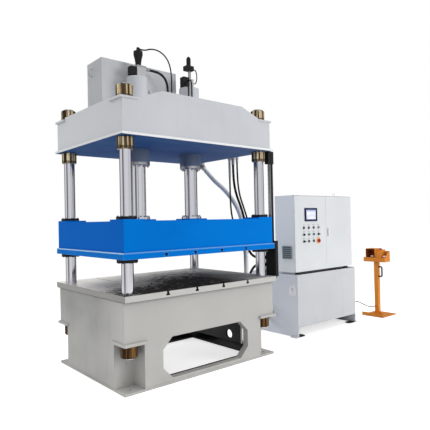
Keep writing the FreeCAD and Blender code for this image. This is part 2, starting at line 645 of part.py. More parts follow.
def limit_switches():
    """The upper switch under the crown and the lower switch box on its table bracket."""
    upper = block("upper_switch", middle("rail_x - 24", "upper_switch_len"),
                  middle("rail_y - 25", "upper_switch_wid"), (upper_switch_low, "crown_low"))
    across = middle("rail_x", "lower_switch_len")
    box = block("lower_switch_box", across, middle("lower_switch_y", "lower_switch_wid"),
                ("lower_switch_low", lower_switch_top))
    lid = block("lower_switch_lid", (across[1], f"{across[1]} + 4"),
                middle("lower_switch_y", "lower_switch_wid - 30"),
                ("lower_switch_low + 15", f"{lower_switch_top} - 15"))
    arm = block("lower_switch_arm", ("table_len/2", across[0]),
                middle("lower_switch_y", "lower_switch_wid - 40"),
                ("lower_switch_low - 18", "table_top - 4"))
    foot = block("lower_switch_foot", ("table_len/2", across[1]),
                 middle("lower_switch_y", "lower_switch_wid - 40"),
                 ("lower_switch_low - 18", "lower_switch_low"))
    glands = [rod(f"switch_gland_{name}", "conduit_dia + 10", 20,
                  ("rail_x", "lower_switch_y + lower_switch_wid/2", z), "Y")
              for name, z in (("upper", "conduit_upper_z"), ("lower", "conduit_lower_z"))]
    return group("limit_switches", upper, joined("lower_switch", box, lid, arm, foot, *glands))


limit_rail()
limit_switches()

# ---------------------------------------------------------------- hose brackets and fittings
bracket_top = f"({crown_deck} + bracket_thk)"
bracket_end = f"({crown_x} + bracket_reach + 20)"


def hose_bracket():
    """Two ledge plates bolted to the crown's right end, bored for the bulkhead fittings."""
    plates = []
    for name, y, wide, bores in (
            ("front", "front_bracket_y", "front_bracket_wid",
             (("pilot_front_y", "pilot_dia"), ("conduit_y", "conduit_dia"),
              ("pilot_rear_y", "pilot_dia"))),
            ("rear", "return_y", "rear_bracket_wid", (("return_y", "return_dia"),))):
        plate = block(f"bracket_sheet_{name}", (crown_x, bracket_end), middle(y, wide),
                      (crown_deck, bracket_top))
        holes = [rod(f"bracket_hole_{spot}", f"{dia} + 2*hole_gap", "bracket_thk + 2",
                     ("fitting_x", spot, f"{crown_deck} - 1")) for spot, dia in bores]
        plates.append(cut(f"bracket_{name}", plate, *holes))
    return group("hose_bracket", *plates)


def bulkhead(name, y, dia, sleeve_long):
    """A fitting through the bracket: nut above, nut below and the crimped sleeve."""
    pipe, nut_r, sleeve = f"{dia}/2", f"{dia}/2 + 8", f"{dia}/2 + 4"
    sleeve_low = f"{crown_deck} - {sleeve_long}"
    half = [(0, sleeve_low), (sleeve, sleeve_low), (sleeve, f"{crown_deck} - 40"),
            (nut_r, f"{crown_deck} - 36"), (nut_r, crown_deck), (pipe, crown_deck),
            (pipe, bracket_top), (nut_r, bracket_top), (nut_r, f"{bracket_top} + 18"),
            (0, f"{bracket_top} + 18")]
    return turned(f"bulkhead_{name}", half, ("fitting_x", y, 0))


def crown_pipe(name, y, dia, rise):
    """The steel pipe from a bulkhead fitting into the crown's end plate."""
    low = f"{bracket_top} + 18"
    spots = [("fitting_x", y, low), ("fitting_x", y, f"{low} + {rise}"),
             (crown_x, y, f"{low} + {rise}")]
    return bent_bar(f"crown_pipe_{name}", dia, spots)


def tank_port(name, y, z, dia, reach):
    """A pipe connector on the tank's left side."""
    half = [(0, 0), (f"{dia}/2 + 4", 0), (f"{dia}/2 + 4", f"{reach} - 16"),
            (f"{dia}/2 + 9", f"{reach} - 14"), (f"{dia}/2 + 9", reach), (0, reach)]
    return turned(f"tank_port_{name}", half, (f"tank_left - {reach}", y, z), "X")


def roof_gland(name, x, dia, high):
    """A cable gland on the crown's roof."""
    low, ring_r = "crown_peak - roof_drop", f"{dia}/2 + 7"
    half = [(0, 0), (ring_r, 0), (ring_r, 14), (f"{dia}/2 + 4", 16), (f"{dia}/2 + 3", high),
            (0, high)]
    return turned(f"roof_gland_{name}", half, (x, 0, low))


def return_fitting():
    """The big bulkhead fitting: a nut above the bracket and a 45 degree elbow below."""
    half = [(0, crown_deck), ("return_dia/2", crown_deck), ("return_dia/2", bracket_top),
            ("return_dia/2 + 10", bracket_top), ("return_dia/2 + 10", f"{bracket_top} + 18"),
            (0, f"{bracket_top} + 18")]
    nut_above = turned("return_nut", half, ("fitting_x", "return_y", 0))
    elbow = bent_bar("return_elbow", "return_dia + 8",
                     [("fitting_x", "return_y", crown_deck),
                      ("fitting_x", "return_y", f"{crown_deck} - 50"),
                      ("fitting_x", "return_y - 37", f"{crown_deck} - 83")])
    return joined("return_fitting", nut_above, elbow)


fittings = [
    return_fitting(),
    bulkhead("pilot_front", "pilot_front_y", "pilot_dia", "sleeve_front"),
    bulkhead("conduit", "conduit_y", "conduit_dia", "sleeve_conduit"),
    bulkhead("pilot_rear", "pilot_rear_y", "pilot_dia", "sleeve_rear"),
    crown_pipe("pilot_front", "pilot_front_y", "pilot_dia", 60),
    crown_pipe("conduit", "conduit_y", "conduit_dia", 70),
    crown_pipe("pilot_rear", "pilot_rear_y", "pilot_dia", 60),
    crown_pipe("return", "return_y", "return_dia", 90),
    tank_port("return", "return_port_y", "return_port_z", "return_dia", "return_port_long"),
    tank_port("pilot_rear", "rear_port_y", "pilot_port_z", "pilot_dia", "port_long"),
    tank_port("pilot_front", "front_port_y", "pilot_port_z", "pilot_dia", "port_long"),
    tank_port("conduit", "conduit_port_y", "conduit_port_z", "conduit_dia", "port_long"),
    roof_gland("cable", 88, 14, 40),
    roof_gland("hose", 40, 24, 48),
    turned("pedestal_gland", [(0, 0), (14, 0), (14, 12), (9, 14), (9, 24), (0, 24)],
           ("tank_left + tank_len", "cable_y", "cable_out_z"), "X"),
]

# ---------------------------------------------------------------- prefill tank and head valves
prefill_low = "crown_peak - roof_drop"


def prefill_tank():
    """The sheet tank behind the cylinders, with its lug, its boss and a filler cap."""
    across = ("prefill_left", "prefill_left + prefill_len")
    along = ("prefill_front", "prefill_front + prefill_wid")
    box = block("prefill_box", across, along, (prefill_low, "prefill_top"))
    wall = "prefill_wall"
    room = block("prefill_room", (f"{across[0]} + {wall}", f"{across[1]} - {wall}"),
                 (f"{along[0]} + {wall}", f"{along[1]} - {wall}"),
                 (f"{prefill_low} + {wall}", f"prefill_top - {wall}"))
    shell = cut("prefill_shell", box, room)
    near, far = "prefill_left + 2", "prefill_left - 34"
    bottom, top = f"{prefill_low} + 343", f"{prefill_low} + 413"
    lug = bent_bar("prefill_lug", 12, [(x, "prefill_front + 205", z) for x, z in (
        (near, bottom), (far, bottom), (far, top), (near, top))])
    boss = rod("prefill_boss", 40, 14,
               ("prefill_left + 560", "prefill_front + 2", f"{prefill_low} + 233"), "-Y")
    cap = turned("prefill_cap", [(0, 0), (36, 0), (36, 22), (30, 30), (0, 30)],
                 ("prefill_left + 620", "prefill_front + prefill_wid/2", "prefill_top"))
    return joined("prefill_tank", shell, lug, boss, cap)


def head_valves():
    """The pale valve blocks on the two cylinder heads, with their metal connectors."""
    head = "cylinder_top"
    left, right = "-cylinder_pitch/2", "cylinder_pitch/2"
    block_left = block("valve_block_left", (f"{left} - 16", f"{left} + 87"), (-40, 40),
                       (head, f"{head} + 127"))
    nozzle = turned("valve_nozzle", [(0, 0), (19, 0), (19, 26), (15, 30), (15, 59), (0, 59)],
                    (f"{left} + 87", 0, f"{head} + 110"), "X")
    block_right = block("valve_block_right", (f"{right} - 16", f"{right} + 41"), (-36, 36),
                        (head, f"{head} + 106"))
    stem = rod("valve_stem", 30, 96, (f"{right} + 12", 0, f"{head} + 106"))
    return group("cylinder_valves", joined("left_valve", block_left, nozzle),
                 joined("right_valve", block_right, stem))


def head_plugs():
    """The dark coils and plugs on the valve blocks, and the two pipes to the roof."""
    head = "cylinder_top"
    left, right = "-cylinder_pitch/2", "cylinder_pitch/2"
    coil = block("coil_left", (f"{left} - 83", f"{left} - 16"), (-33, 33),
                 (f"{head} + 24", f"{head} + 106"))
    cone = turned("plug_cone", [(0, 0), (29, 0), (29, 24), (34, 60), (46, 112), (46, 146),
                                (20, 160), (16, 162), (16, 184), (12, 188), (0, 188)],
                  (f"{left} + 20", 0, f"{head} + 127"))
    exit_boss = rod("plug_exit", 20, 24, (f"{left} + 20", 0, f"{head} + 301"), "X")
    plug = joined("plug_left", cone, exit_boss)
    coil_right = block("coil_right", (f"{right} - 93", f"{right} - 16"), (-34, 34),
                       (head, f"{head} + 118"))
    box = block("plug_box", (f"{right} - 47", f"{right} + 48"), (-36, 36),
                (f"{head} + 202", f"{head} + 251"))
    cap = turned("plug_cap", [(0, 0), (24, 0), (24, 84), (12, 104), (0, 104)],
                 (f"{right} + 2", 0, f"{head} + 251"))
    loop = bent_bar("plug_loop", 11, [(f"{right} + 48", 0, f"{head} + 228"),
                                      (f"{right} + 102", 0, f"{head} + 228"),
                                      (f"{right} + 118", 0, f"{head} + 148"),
                                      (f"{right} + 97", 0, f"{head} + 73"),
                                      (f"{right} + 41", 0, f"{head} + 73")])
    pipes = [bent_bar(f"head_pipe_{name}", 16,
                      [(f"{right} - {off}", -34, f"{head} + {up}"),
                       (f"{right} - {off}", -84, f"{head} + {up}"),
                       (f"{right} - {off} - 22", -126, f"{head} + {up} - 70"),
                       (f"{right} - {off} - 22", -126, prefill_low)])
             for name, off, up in (("outer", 78, 43), ("inner", 36, 78))]
    return group("valve_plugs", coil, plug, coil_right, joined("right_plug", box, cap), loop, *pipes)


prefill_tank()
head_valves()
head_plugs()
hose_bracket()
group("hose_fittings", *fittings)

# ---------------------------------------------------------------- power unit
tank_right = "(tank_left + tank_len)"
tank_back = "(tank_front + tank_wid)"
cabinet_right = "(cabinet_left + cabinet_len)"
cabinet_front = "(tank_front + door_thk + door_gap)"
cabinet_back = "(tank_front + cabinet_deep)"
door_middle = "(cabinet_left + door_split)"


def oil_tank():
    """The welded tank between two side panels that stand on the floor."""
    inner = ("tank_left + tank_side_thk", f"{tank_right} - tank_side_thk")
    shell = block("tank_shell", inner, ("tank_front", tank_back), ("tank_low", "tank_top"))
    panels = [block("tank_side_left", ("tank_left", inner[0]), ("tank_front", tank_back),
                    (0, "tank_top")),
              block("tank_side_right", (inner[1], tank_right), ("tank_front", tank_back),
                    (0, "tank_top"))]
    room = block("tank_room", (f"{inner[0]} + tank_wall", f"{inner[1]} - tank_wall"),
                 ("tank_front + tank_wall", f"{tank_back} - tank_wall"),
                 ("tank_low + tank_wall", "tank_top + 1"))
    feet = [block(f"tank_foot_{where}", across, along, (0, "base_thk/2"))
            for where, across, along in (
                ("left_front", ("tank_left - 45", inner[0]), ("tank_front", "tank_front + 90")),
                ("left_back", ("tank_left - 45", inner[0]), (f"{tank_back} - 90", tank_back)),
                ("right_front", (inner[1], f"{tank_right} + 45"), ("tank_front", "tank_front + 90")),
                ("right_back", (inner[1], f"{tank_right} + 45"),
                 (f"{tank_back} - 90", tank_back)))]
    lug_y, lug_z = "tank_front + 76.5", "tank_top - 174"
    lug_plate = block("lug_plate", ("tank_left - 10", "tank_left"), middle(lug_y, 99),
                      (f"{lug_z} - 72", lug_z))
    lug_arch = rod("lug_arch", 99, 10, ("tank_left - 10", lug_y, lug_z), "X")
    lug_eye = rod("lug_eye", 44, 12, ("tank_left - 11", lug_y, lug_z), "X")
    lug = cut("tank_lug", joined("lug_whole", lug_plate, lug_arch), lug_eye)
    whole = cut("tank_hollow", joined("tank_welded", shell, *panels, *feet), room)
    return joined("oil_tank", whole, lug)


def tank_cover():
    """The lid on the tank, with the two rails under the cabinet and a filler cap."""
    lid = block("cover_sheet", ("tank_left", tank_right), ("tank_front", tank_back),
                ("tank_top", "tank_top + tank_cover_thk"))
    rails = [block(f"cabinet_rail_{where}", across, (f"{cabinet_front} + 6", cabinet_back),
                   ("tank_top + tank_cover_thk", "cabinet_low"))
             for where, across in (
                 ("left", ("cabinet_left + 60", "cabinet_left + 120")),
                 ("right", (f"{cabinet_right} - 120", f"{cabinet_right} - 60")))]
    cap = turned("filler_cap", [(0, 0), (42, 0), (42, 30), (34, 52), (0, 56)],
                 (f"{tank_right} - 140", f"{tank_back} - 120", "tank_top + tank_cover_thk"))
    return joined("tank_cover", lid, *rails, cap)


def hinge_axis(sign):
    """The line about which a door turns, just outside the cabinet's front edge."""
    edge = "cabinet_left" if sign < 0 else cabinet_right
    return f"({edge} + {sign}*(hinge_dia/2 + 1))", "(tank_front + door_thk)"


def knuckle(name, sign, low, fixed):
    """Half a lift-off hinge: its round knuckle and the leaf that joins it to its sheet."""
    x, y = hinge_axis(sign)
    edge = "cabinet_left" if sign < 0 else cabinet_right
    leaf_x = (f"{edge} - 4", edge) if sign < 0 else (edge, f"{edge} + 4")
    leaf_y = (cabinet_front, f"{cabinet_front} + 30") if fixed else ("tank_front + 4",
                                                                     f"{y} - door_gap")
    round_part = rod(name + "_round", "hinge_dia", "hinge_long", (x, y, low))
    leaf = block(name + "_leaf", leaf_x, leaf_y, (low, f"{low} + hinge_long"))
    return [round_part, leaf]


HINGE_LEVELS = (("lower", "cabinet_low + 120"), ("upper", "cabinet_top - 200"))


def cabinet():
    """The steel cabinet: a shell with a lip round its open front and the hinge pins."""
    shell = block("cabinet_shell", ("cabinet_left", cabinet_right), (cabinet_front, cabinet_back),
                  ("cabinet_low", "cabinet_top"))
    room = block("cabinet_room", ("cabinet_left + cabinet_wall", f"{cabinet_right} - cabinet_wall"),
                 (f"{cabinet_front} + cabinet_wall", f"{cabinet_back} - cabinet_wall"),
                 ("cabinet_low + cabinet_wall", "cabinet_top - cabinet_wall"))
    mouth = block("cabinet_mouth", ("cabinet_left + cabinet_lip", f"{cabinet_right} - cabinet_lip"),
                  (f"{cabinet_front} - 1", f"{cabinet_front} + cabinet_wall + 1"),
                  ("cabinet_low + cabinet_lip", "cabinet_top - cabinet_lip"))
    hinges = []
    for sign, where in SIDES:
        x, y = hinge_axis(sign)
        for level, low in HINGE_LEVELS:
            hinges += knuckle(f"fixed_knuckle_{where}_{level}", sign, low, fixed=True)
            hinges.append(rod(f"hinge_pin_{where}_{level}", "hinge_pin_dia", "2*hinge_long - 2",
                              (x, y, low)))
    eye_x = "cabinet_left + 982"
    eye = bent_bar("lifting_eye", 10, [(f"{eye_x} - 22", -299, number("cabinet_top") - 2),
                                       (f"{eye_x} - 22", -299, number("cabinet_top") + 46),
                                       (f"{eye_x} + 22", -299, number("cabinet_top") + 46),
                                       (f"{eye_x} + 22", -299, number("cabinet_top") - 2)])
    hollow = cut("cabinet_hollow", shell, room, mouth)
    return joined("cabinet", hollow, eye, *hinges)


def door(sign, where, holes):
    """A folded steel pan with its hinge knuckles."""
    edge = "cabinet_left" if sign < 0 else cabinet_right
    across = (edge, f"{door_middle} - 1.5") if sign < 0 else (f"{door_middle} + 1.5", edge)
    along = ("tank_front", "tank_front + door_thk")
    up = ("cabinet_low + 4", "cabinet_top - 4")
    slab = block(f"door_slab_{where}", across, along, up)
    hollow = block(f"door_hollow_{where}", (f"{across[0]} + door_rim", f"{across[1]} - door_rim"),
                   ("tank_front + door_skin", "tank_front + door_thk + 1"),
                   (f"{up[0]} + door_rim", f"{up[1]} - door_rim"))
    x, y = hinge_axis(sign)
    hinges, bores = [], []
    for level, low in HINGE_LEVELS:
        seat = f"({low} + hinge_long + control_gap)"
        hinges += knuckle(f"door_knuckle_{where}_{level}", sign, seat, fixed=False)
        bores.append(rod(f"knuckle_bore_{where}_{level}", "hinge_pin_dia + 2*hinge_pin_gap",
                         "hinge_long + 2", (x, y, f"{seat} - 1")))
    return cut(f"door_{where}", joined(f"door_pan_{where}", slab, *hinges), hollow, *bores, *holes)


def control_spot(column, row):
    return (f"control_x + {column}*control_pitch", "tank_front", row)


CONTROLS = {
    "key_switch": (3, "lamp_row"), "raise_button": (0, "upper_row"),
    "lower_button": (1, "upper_row"), "start_button": (2, "upper_row"),
    "mode_switch": (3, "upper_row"), "pressure_switch": (0, "lower_row"),
    "emergency_stop": (3, "lower_row"),
}
LAMPS = ((0, "lamp_row"), (1, "lamp_row"), (2, "lamp_row"), (1, "lower_row"), (2, "lower_row"))


def control_holes():
    """The round holes for controls and lamps, and the screen's cut-out, in the left door."""
    spots = list(CONTROLS.values()) + list(LAMPS)
    holes = []
    for index, (column, row) in enumerate(spots, start=1):
        x, y, z = control_spot(column, row)
        holes.append(rod(f"control_hole_{index}", "control_hole", "door_skin + 2",
                         (x, f"{y} - 1", z), "Y"))
    holes.append(block("screen_hole", ("screen_left + 12", "screen_left + screen_len - 12"),
                       ("tank_front - 1", "tank_front + door_skin + 1"),
                       ("screen_low + 12", "screen_low + screen_high - 12")))
    return holes


def screen_panel():
    """The operator screen: a bezel with a sunk glass, and its housing behind the door."""
    bezel = block("screen_bezel", ("screen_left", "screen_left + screen_len"),
                  ("tank_front - screen_thk", "tank_front"),
                  ("screen_low", "screen_low + screen_high"))
    glass = block("screen_sink", ("screen_left + 36", "screen_left + screen_len - 20"),
                  ("tank_front - screen_thk - 1", "tank_front - screen_thk + 2"),
                  ("screen_low + 30", "screen_low + screen_high - 24"))
    rear = block("screen_housing", ("screen_left + 12.5", "screen_left + screen_len - 12.5"),
                 ("tank_front", "tank_front + 48"),
                 ("screen_low + 12.5", "screen_low + screen_high - 12.5"))
    return cut("hmi_panel", joined("screen_body", bezel, rear), glass)


def bezel(name, column, row):
    """The ring and threaded barrel of a control, clamped in the door."""
    bore, barrel, rim = "cap_dia/2 - 3", "barrel_dia/2", "bezel_dia/2"
    half = [(bore, "-(bezel_thk)"), (rim, "-(bezel_thk)"), (rim, 0), (barrel, 0),
            (barrel, "door_skin"), (f"{rim} - 2", "door_skin"), (f"{rim} - 2", "door_skin + 6"),
            (barrel, "door_skin + 6"), (barrel, 36), (bore, 36)]
    return turned(f"bezel_{name}", half, control_spot(column, row), "Y")


def cap(name, column, row, head):
    """A moving control: the head outside its bezel and the stem inside the barrel."""
    stem = "cap_dia/2 - 3 - control_gap"
    face = "-(bezel_thk + control_gap + press_travel)"
    half = [(0, 30), (stem, 30), (stem, face)] + head + [(0, f"{face} - cap_high")]
    return turned(name, half, control_spot(column, row), "Y")


BUTTON = [("cap_dia/2", "-(bezel_thk + control_gap + press_travel)"),
          ("cap_dia/2", "-(bezel_thk + control_gap + press_travel) - cap_high + 2"),
          ("cap_dia/2 - 2", "-(bezel_thk + control_gap + press_travel) - cap_high")]


def selector(name, column, row, grip_long, grip_wide):
    """A turning control: a round base with a grip bar across it."""
    stem = "cap_dia/2 - 3 - control_gap"
    face = "-(bezel_thk + control_gap)"
    half = [(0, 30), (stem, 30), (stem, face), ("cap_dia/2 + 3", face),
            ("cap_dia/2 + 2", f"{face} - 5"), (0, f"{face} - 5")]
    base = turned(name + "_base", half, control_spot(column, row), "Y")
    x, y, z = control_spot(column, row)
    grip = block(name + "_grip", middle(x, grip_long), (f"{y} + {face} - 19", f"{y} + {face} - 4"),
                 middle(z, grip_wide))
    doc.recompute()
    soft = rounded(name + "_soft", grip, 2, lambda edge: abs(edge.BoundBox.YLength) < 1
                   and edge.BoundBox.YMin < SIZES["tank_front"] - 20)
    return joined(name, base, soft)


def emergency_stop(name, column, row):
    """The red mushroom head on its stem."""
    mushroom, face = "mushroom_dia/2", "-(bezel_thk + control_gap + press_travel)"
    half = [(0, 30), ("cap_dia/2 - 3 - control_gap", 30), ("cap_dia/2 - 3 - control_gap", face),
            (f"{mushroom} - 3", face), (mushroom, f"{face} - 3"), (mushroom, f"{face} - 9"),
            (f"{mushroom} - 5", f"{face} - 14"), (0, f"{face} - 16")]
    return turned(name, half, control_spot(column, row), "Y")


def lamp(index, column, row):
    """One indicator lamp: lens, rim and barrel."""
    rim, barrel = "bezel_dia/2", "barrel_dia/2"
    half = [(0, -16), ("cap_dia/2 - 4", -15), ("cap_dia/2", -11), ("cap_dia/2", "-(bezel_thk)"),
            (rim, "-(bezel_thk)"), (rim, 0), (barrel, 0), (barrel, 40), (0, 40)]
    return turned(f"lamp_{index}", half, control_spot(column, row), "Y")


def vent_cover():
    """A louvred hood on the cabinet's left side."""
    shell = block("vent_hood", ("cabinet_left - vent_thk", "cabinet_left"),
                  middle("tank_front + 128", "vent_wid"), ("vent_low", "vent_low + vent_high"))
    slots = [block(f"vent_slot_{index + 1}", ("cabinet_left - vent_thk - 1", "cabinet_left - 3"),
                   middle("tank_front + 128", "vent_wid - 24"),
                   (f"vent_low + vent_high*{index + 0.7}/6.4",
                    f"vent_low + vent_high*{index + 0.7}/6.4 + 8")) for index in range(6)]
    return cut("vent_cover", shell, *slots)


def door_handle():
    """A vertical lever on a spindle through the right door, with the latch cam inside."""
    pivot = "(handle_low + handle_high - handle_wid/2)"
    face = "tank_front"
    rose = rod("handle_rose", "handle_wid + 4", 6, ("handle_x", face, pivot), "-Y")
    lever = block("handle_lever", middle("handle_x", "handle_wid"),
                  (f"{face} - 20", f"{face} - 6"), ("handle_low", f"{pivot} + handle_wid/2"))
    doc.recompute()
    lever_soft = rounded("handle_soft", lever, 6, lambda edge: edge.BoundBox.YMax
                         < SIZES["tank_front"] - 19.9)
    spindle = rod("handle_spindle", 12, "door_thk + 16", ("handle_x", face, pivot), "Y")
    cam = block("latch_cam", middle("handle_x", 20),
                ("tank_front + door_thk + 10", "tank_front + door_thk + 15"),
                (f"{pivot} - 58", f"{pivot} + 12"))
    return joined("door_handle", rose, lever_soft, spindle, cam)


def switchgear():
    """The mounting plate inside the cabinet, with its rows of devices and wiring ducts."""
    back = f"({cabinet_back} - cabinet_wall)"
    face = f"({back} - 32)"
    left, right = "(cabinet_left + 70)", f"({cabinet_right} - 70)"
    low, high = "(cabinet_low + 60)", "(cabinet_top - 60)"
    plate = block("gear_plate", (left, right), (f"{face}", f"{face} + 4"), (low, high))
    posts = [rod(f"gear_post_{x_name}_{z_name}", 16, 28, (x, f"{face} + 4", z), "Y")
             for x_name, x in (("left", f"{left} + 30"), ("right", f"{right} - 30"))
             for z_name, z in (("low", f"{low} + 30"), ("high", f"{high} - 30"))]
    wide, tall = f"({right} - {left})", f"({high} - {low})"
    ducts = [block(f"gear_duct_{index}", (f"{left} + 20", f"{right} - 20"),
                   (f"{face} - 60", face), (f"{low} + {tall}*{share}", f"{low} + {tall}*{share} + 40"))
             for index, share in enumerate((0.03, 0.34, 0.63, 0.94), start=1)]
    rows = []
    for level, share, count, high_mm, deep in (("low", 0.13, 6, 110, 120), ("mid", 0.43, 9, 90, 80),
                                                ("top", 0.73, 5, 120, 95)):
        for index in range(count):
            x = f"({left} + 50 + ({wide} - 100)*{(index + 0.5) / count:.4f})"
            rows.append(block(f"gear_{level}_{index + 1}", middle(x, f"({wide} - 100)/{count}*0.82"),
                              (f"{face} - {deep}", face),
                              (f"{low} + {tall}*{share}", f"{low} + {tall}*{share} + {high_mm}")))
    return joined("switchgear_panel", plate, *posts, *ducts, *rows)


def pump_motor():
    """The electric motor with its ribs, bell housing and pump, on two feet on the tank."""
    half = "motor_dia/2"
    body = turned("motor_body", [(0, 0), (60, 0), (f"{half} - 30", 0), (f"{half} - 4", 26),
                                 (f"{half} - 14", 34), (f"{half} - 14", "motor_len - 60"),
                                 (half, "motor_len - 56"), (half, "motor_len - 40"),
                                 (95, "motor_len - 38"), (90, "motor_len + 70"),
                                 (72, "motor_len + 74"), (72, "motor_len + 190"),
                                 (50, "motor_len + 196"), (0, "motor_len + 196")],
                  ("motor_x", "motor_y", "motor_z"), "X")
    ribs = []
    for index in range(18):
        angle = 20 * index
        rib = doc.addObject("Part::Box", f"motor_rib_{index + 1}")
        rib.setExpression("Length", bound("motor_len - 100"))
        rib.setExpression("Width", "4")
        rib.setExpression("Height", bound("motor_dia/2 - 60"))
        turn = Rotation(Vector(1, 0, 0), angle)
        offset = turn.multVec(Vector(36, -2, 50))
        put(rib, (f"motor_x + {offset.x}", f"motor_y + {offset.y}", f"motor_z + {offset.z}"), turn)
        ribs.append(rib)
    deck = "tank_top + tank_cover_thk"
    feet = [block(f"motor_foot_{where}", (x, f"{x} + 60"), middle("motor_y", "motor_dia - 30"),
                  (deck, "motor_z - motor_dia/2 + 30"))
            for where, x in (("rear", "motor_x + 60"), ("front", "motor_x + motor_len - 100"))]
    box = block("terminal_box", ("motor_x + 120", "motor_x + 240"), middle("motor_y", 110),
                ("motor_z + 60", "motor_z + motor_dia/2 + 55"))
    return joined("pump_motor", body, box, *feet, *ribs)


def front_controls():
    """Everything that the left door carries."""
    group("button_bezels", *[bezel(name, *spot) for name, spot in CONTROLS.items()])
    group("indicator_lamps", *[lamp(index, *spot) for index, spot in enumerate(LAMPS, start=1)])
    for name in ("raise_button", "lower_button", "start_button"):
        cap(name, *CONTROLS[name], BUTTON)
    selector("key_switch", *CONTROLS["key_switch"], 7, 22)
    selector("mode_switch", *CONTROLS["mode_switch"], 40, 9)
    selector("pressure_switch", *CONTROLS["pressure_switch"], 44, 9)
    emergency_stop("emergency_stop", *CONTROLS["emergency_stop"])


oil_tank()
tank_cover()
cabinet()
door(-1, "left", control_holes())
door(1, "right", [rod("spindle_hole", 13, "door_skin + 2",
                      ("handle_x", "tank_front - 1", "handle_low + handle_high - handle_wid/2"),
                      "Y")])
screen_panel()
front_controls()
vent_cover()
door_handle()
switchgear()
pump_motor()

# ---------------------------------------------------------------- two-hand pedestal
tray_top = "(tray_low + tray_high)"
tray_back = "(pedestal_y + tray_wid/2)"
tray_end = "(pedestal_y - tray_wid/2)"
hood_far = f"({tray_back} - hood_in)"
hood_near = f"({hood_far} - hood_wid)"
box_near = f"({hood_near} - switch_box_wid)"


def pedestal_stand():
    """The foot plate with its kerb, the square post and its four gussets."""
    foot_x = middle("pedestal_x + foot_ahead", "foot_len")
    foot = block("foot_plate", foot_x, middle("pedestal_y", "foot_wid"),
                 (0, "foot_thk"))
    kerb = block("foot_kerb", (foot_x[0], f"{foot_x[0]} + foot_bar_thk"),
                 middle("pedestal_y", "foot_wid"), ("foot_thk", "foot_bar_high"))
    post = block("post_bar", middle("pedestal_x", "post_wide"), middle("pedestal_y", "post_wide"),
                 ("foot_thk", f"{tray_top} - tray_wall"))
    bore = block("post_bore", middle("pedestal_x", "post_wide - 2*post_wall"),
                 middle("pedestal_y", "post_wide - 2*post_wall"),
                 ("foot_thk", f"{tray_top} + 1"))
    gussets = []
    for sign, where in WALLS:
        edge = f"(pedestal_y + {sign}*post_wide/2)"
        shape = [(edge, "foot_thk"), (f"{edge} + {sign}*50", "foot_thk"), (edge, "foot_thk + 60")]
        gussets.append(extruded(f"gusset_{where}", shape, "YZ", "pedestal_x - 3", 6))
    gland = turned("post_gland", [(0, 0), (9, 0), (9, 12), (12, 14), (12, 22), (0, 22)],
                   ("pedestal_x - post_wide/2 - 22", "cable_y", "cable_in_z"), "X")
    return joined("pedestal_stand", foot, kerb, cut("post_tube", post, bore), gland, *gussets)


def pedestal_head():
    """The tray with its two guarded places and the switch box between them."""
    wide = middle("pedestal_x", "tray_len")
    tray = block("tray_shell", wide, (tray_end, tray_back), ("tray_low", tray_top))
    room = block("tray_room", middle("pedestal_x", "tray_len - 2*tray_wall"),
                 (f"{tray_end} + tray_wall", f"{tray_back} - tray_wall"),
                 ("tray_low - 1", f"{tray_top} - tray_wall"))
    hood = block("hood_shell", wide, (hood_near, hood_far), (tray_top, f"{tray_top} + hood_high"))
    hood_room = block("hood_room", ("pedestal_x - tray_len/2 - 1",
                                    "pedestal_x + tray_len/2 - hood_sheet"),
                      (f"{hood_near} + hood_sheet", f"{hood_far} - hood_sheet"),
                      (tray_top, f"{tray_top} + hood_high - hood_sheet"))
    box_shape = [("pedestal_x - tray_len/2 + 12", tray_top), ("pedestal_x + tray_len/2", tray_top),
                 ("pedestal_x + tray_len/2", f"{tray_top} + 112"),
                 ("pedestal_x - tray_len/2 + 52", f"{tray_top} + 112"),
                 ("pedestal_x - tray_len/2 + 12", f"{tray_top} + 62")]
    box = extruded("switch_box", box_shape, "XZ", box_near, f"{hood_near} - {box_near}")
    guard_shape = [("pedestal_x - tray_len/2 + 30", tray_top),
                   ("pedestal_x + tray_len/2", tray_top),
                   ("pedestal_x + tray_len/2", f"{tray_top} + 92"),
                   ("pedestal_x + tray_len/2 - 60", f"{tray_top} + 78")]
    guard = extruded("end_guard", guard_shape, "XZ", tray_end, "hood_sheet")
    rear = block("rear_guard", ("pedestal_x + tray_len/2 - hood_sheet", "pedestal_x + tray_len/2"),
                 (tray_end, box_near), (tray_top, f"{tray_top} + 92"))
    holes = [rod(f"palm_hole_{where}", "palm_dia/2 + 2*control_gap", "tray_wall + 2",
                 ("pedestal_x - 12", y, f"{tray_top} - tray_wall - 1")) for where, y in PALMS]
    stop_hole = rod("stop_hole", "cap_dia + 2*control_gap", 40,
                    ("pedestal_x + 16", STOP_Y, f"{tray_top} + 112 - 38"))
    return cut("pedestal_head", joined("head_whole", tray, hood, box, guard, rear), room, hood_room,
               *holes, stop_hole)


PALMS = (("left", f"({hood_near} + {hood_far})/2"), ("right", f"({tray_end} + {box_near})/2 + 1"))
STOP_Y = f"({hood_near} + {box_near})/2"


def palm_button(where, y):
    """A wide palm cap on its stem, guided in the tray."""
    stem, head, face = "palm_dia/4", "palm_dia/2", "palm_travel + control_gap"
    half = [(0, "-(tray_wall + 22)"), (stem, "-(tray_wall + 22)"), (stem, face),
            (f"{head} - 4", face), (head, f"{face} + 5"), (head, f"{face} + 14"),
            (f"{head} - 8", f"{face} + 22"), (0, f"{face} + 26")]
    return turned(f"palm_button_{where}", half, ("pedestal_x - 12", y, tray_top))


def pedestal_stop():
    """The red stop button on the switch box."""
    stem, head, face = "cap_dia/2", "mushroom_dia/2 - 2", "press_travel + control_gap"
    half = [(0, -30), (stem, -30), (stem, face), (f"{head} - 3", face), (head, f"{face} + 3"),
            (head, f"{face} + 10"), (f"{head} - 6", f"{face} + 15"), (0, f"{face} + 17")]
    return turned("pedestal_stop", half, ("pedestal_x + 16", STOP_Y, f"{tray_top} + 112"))


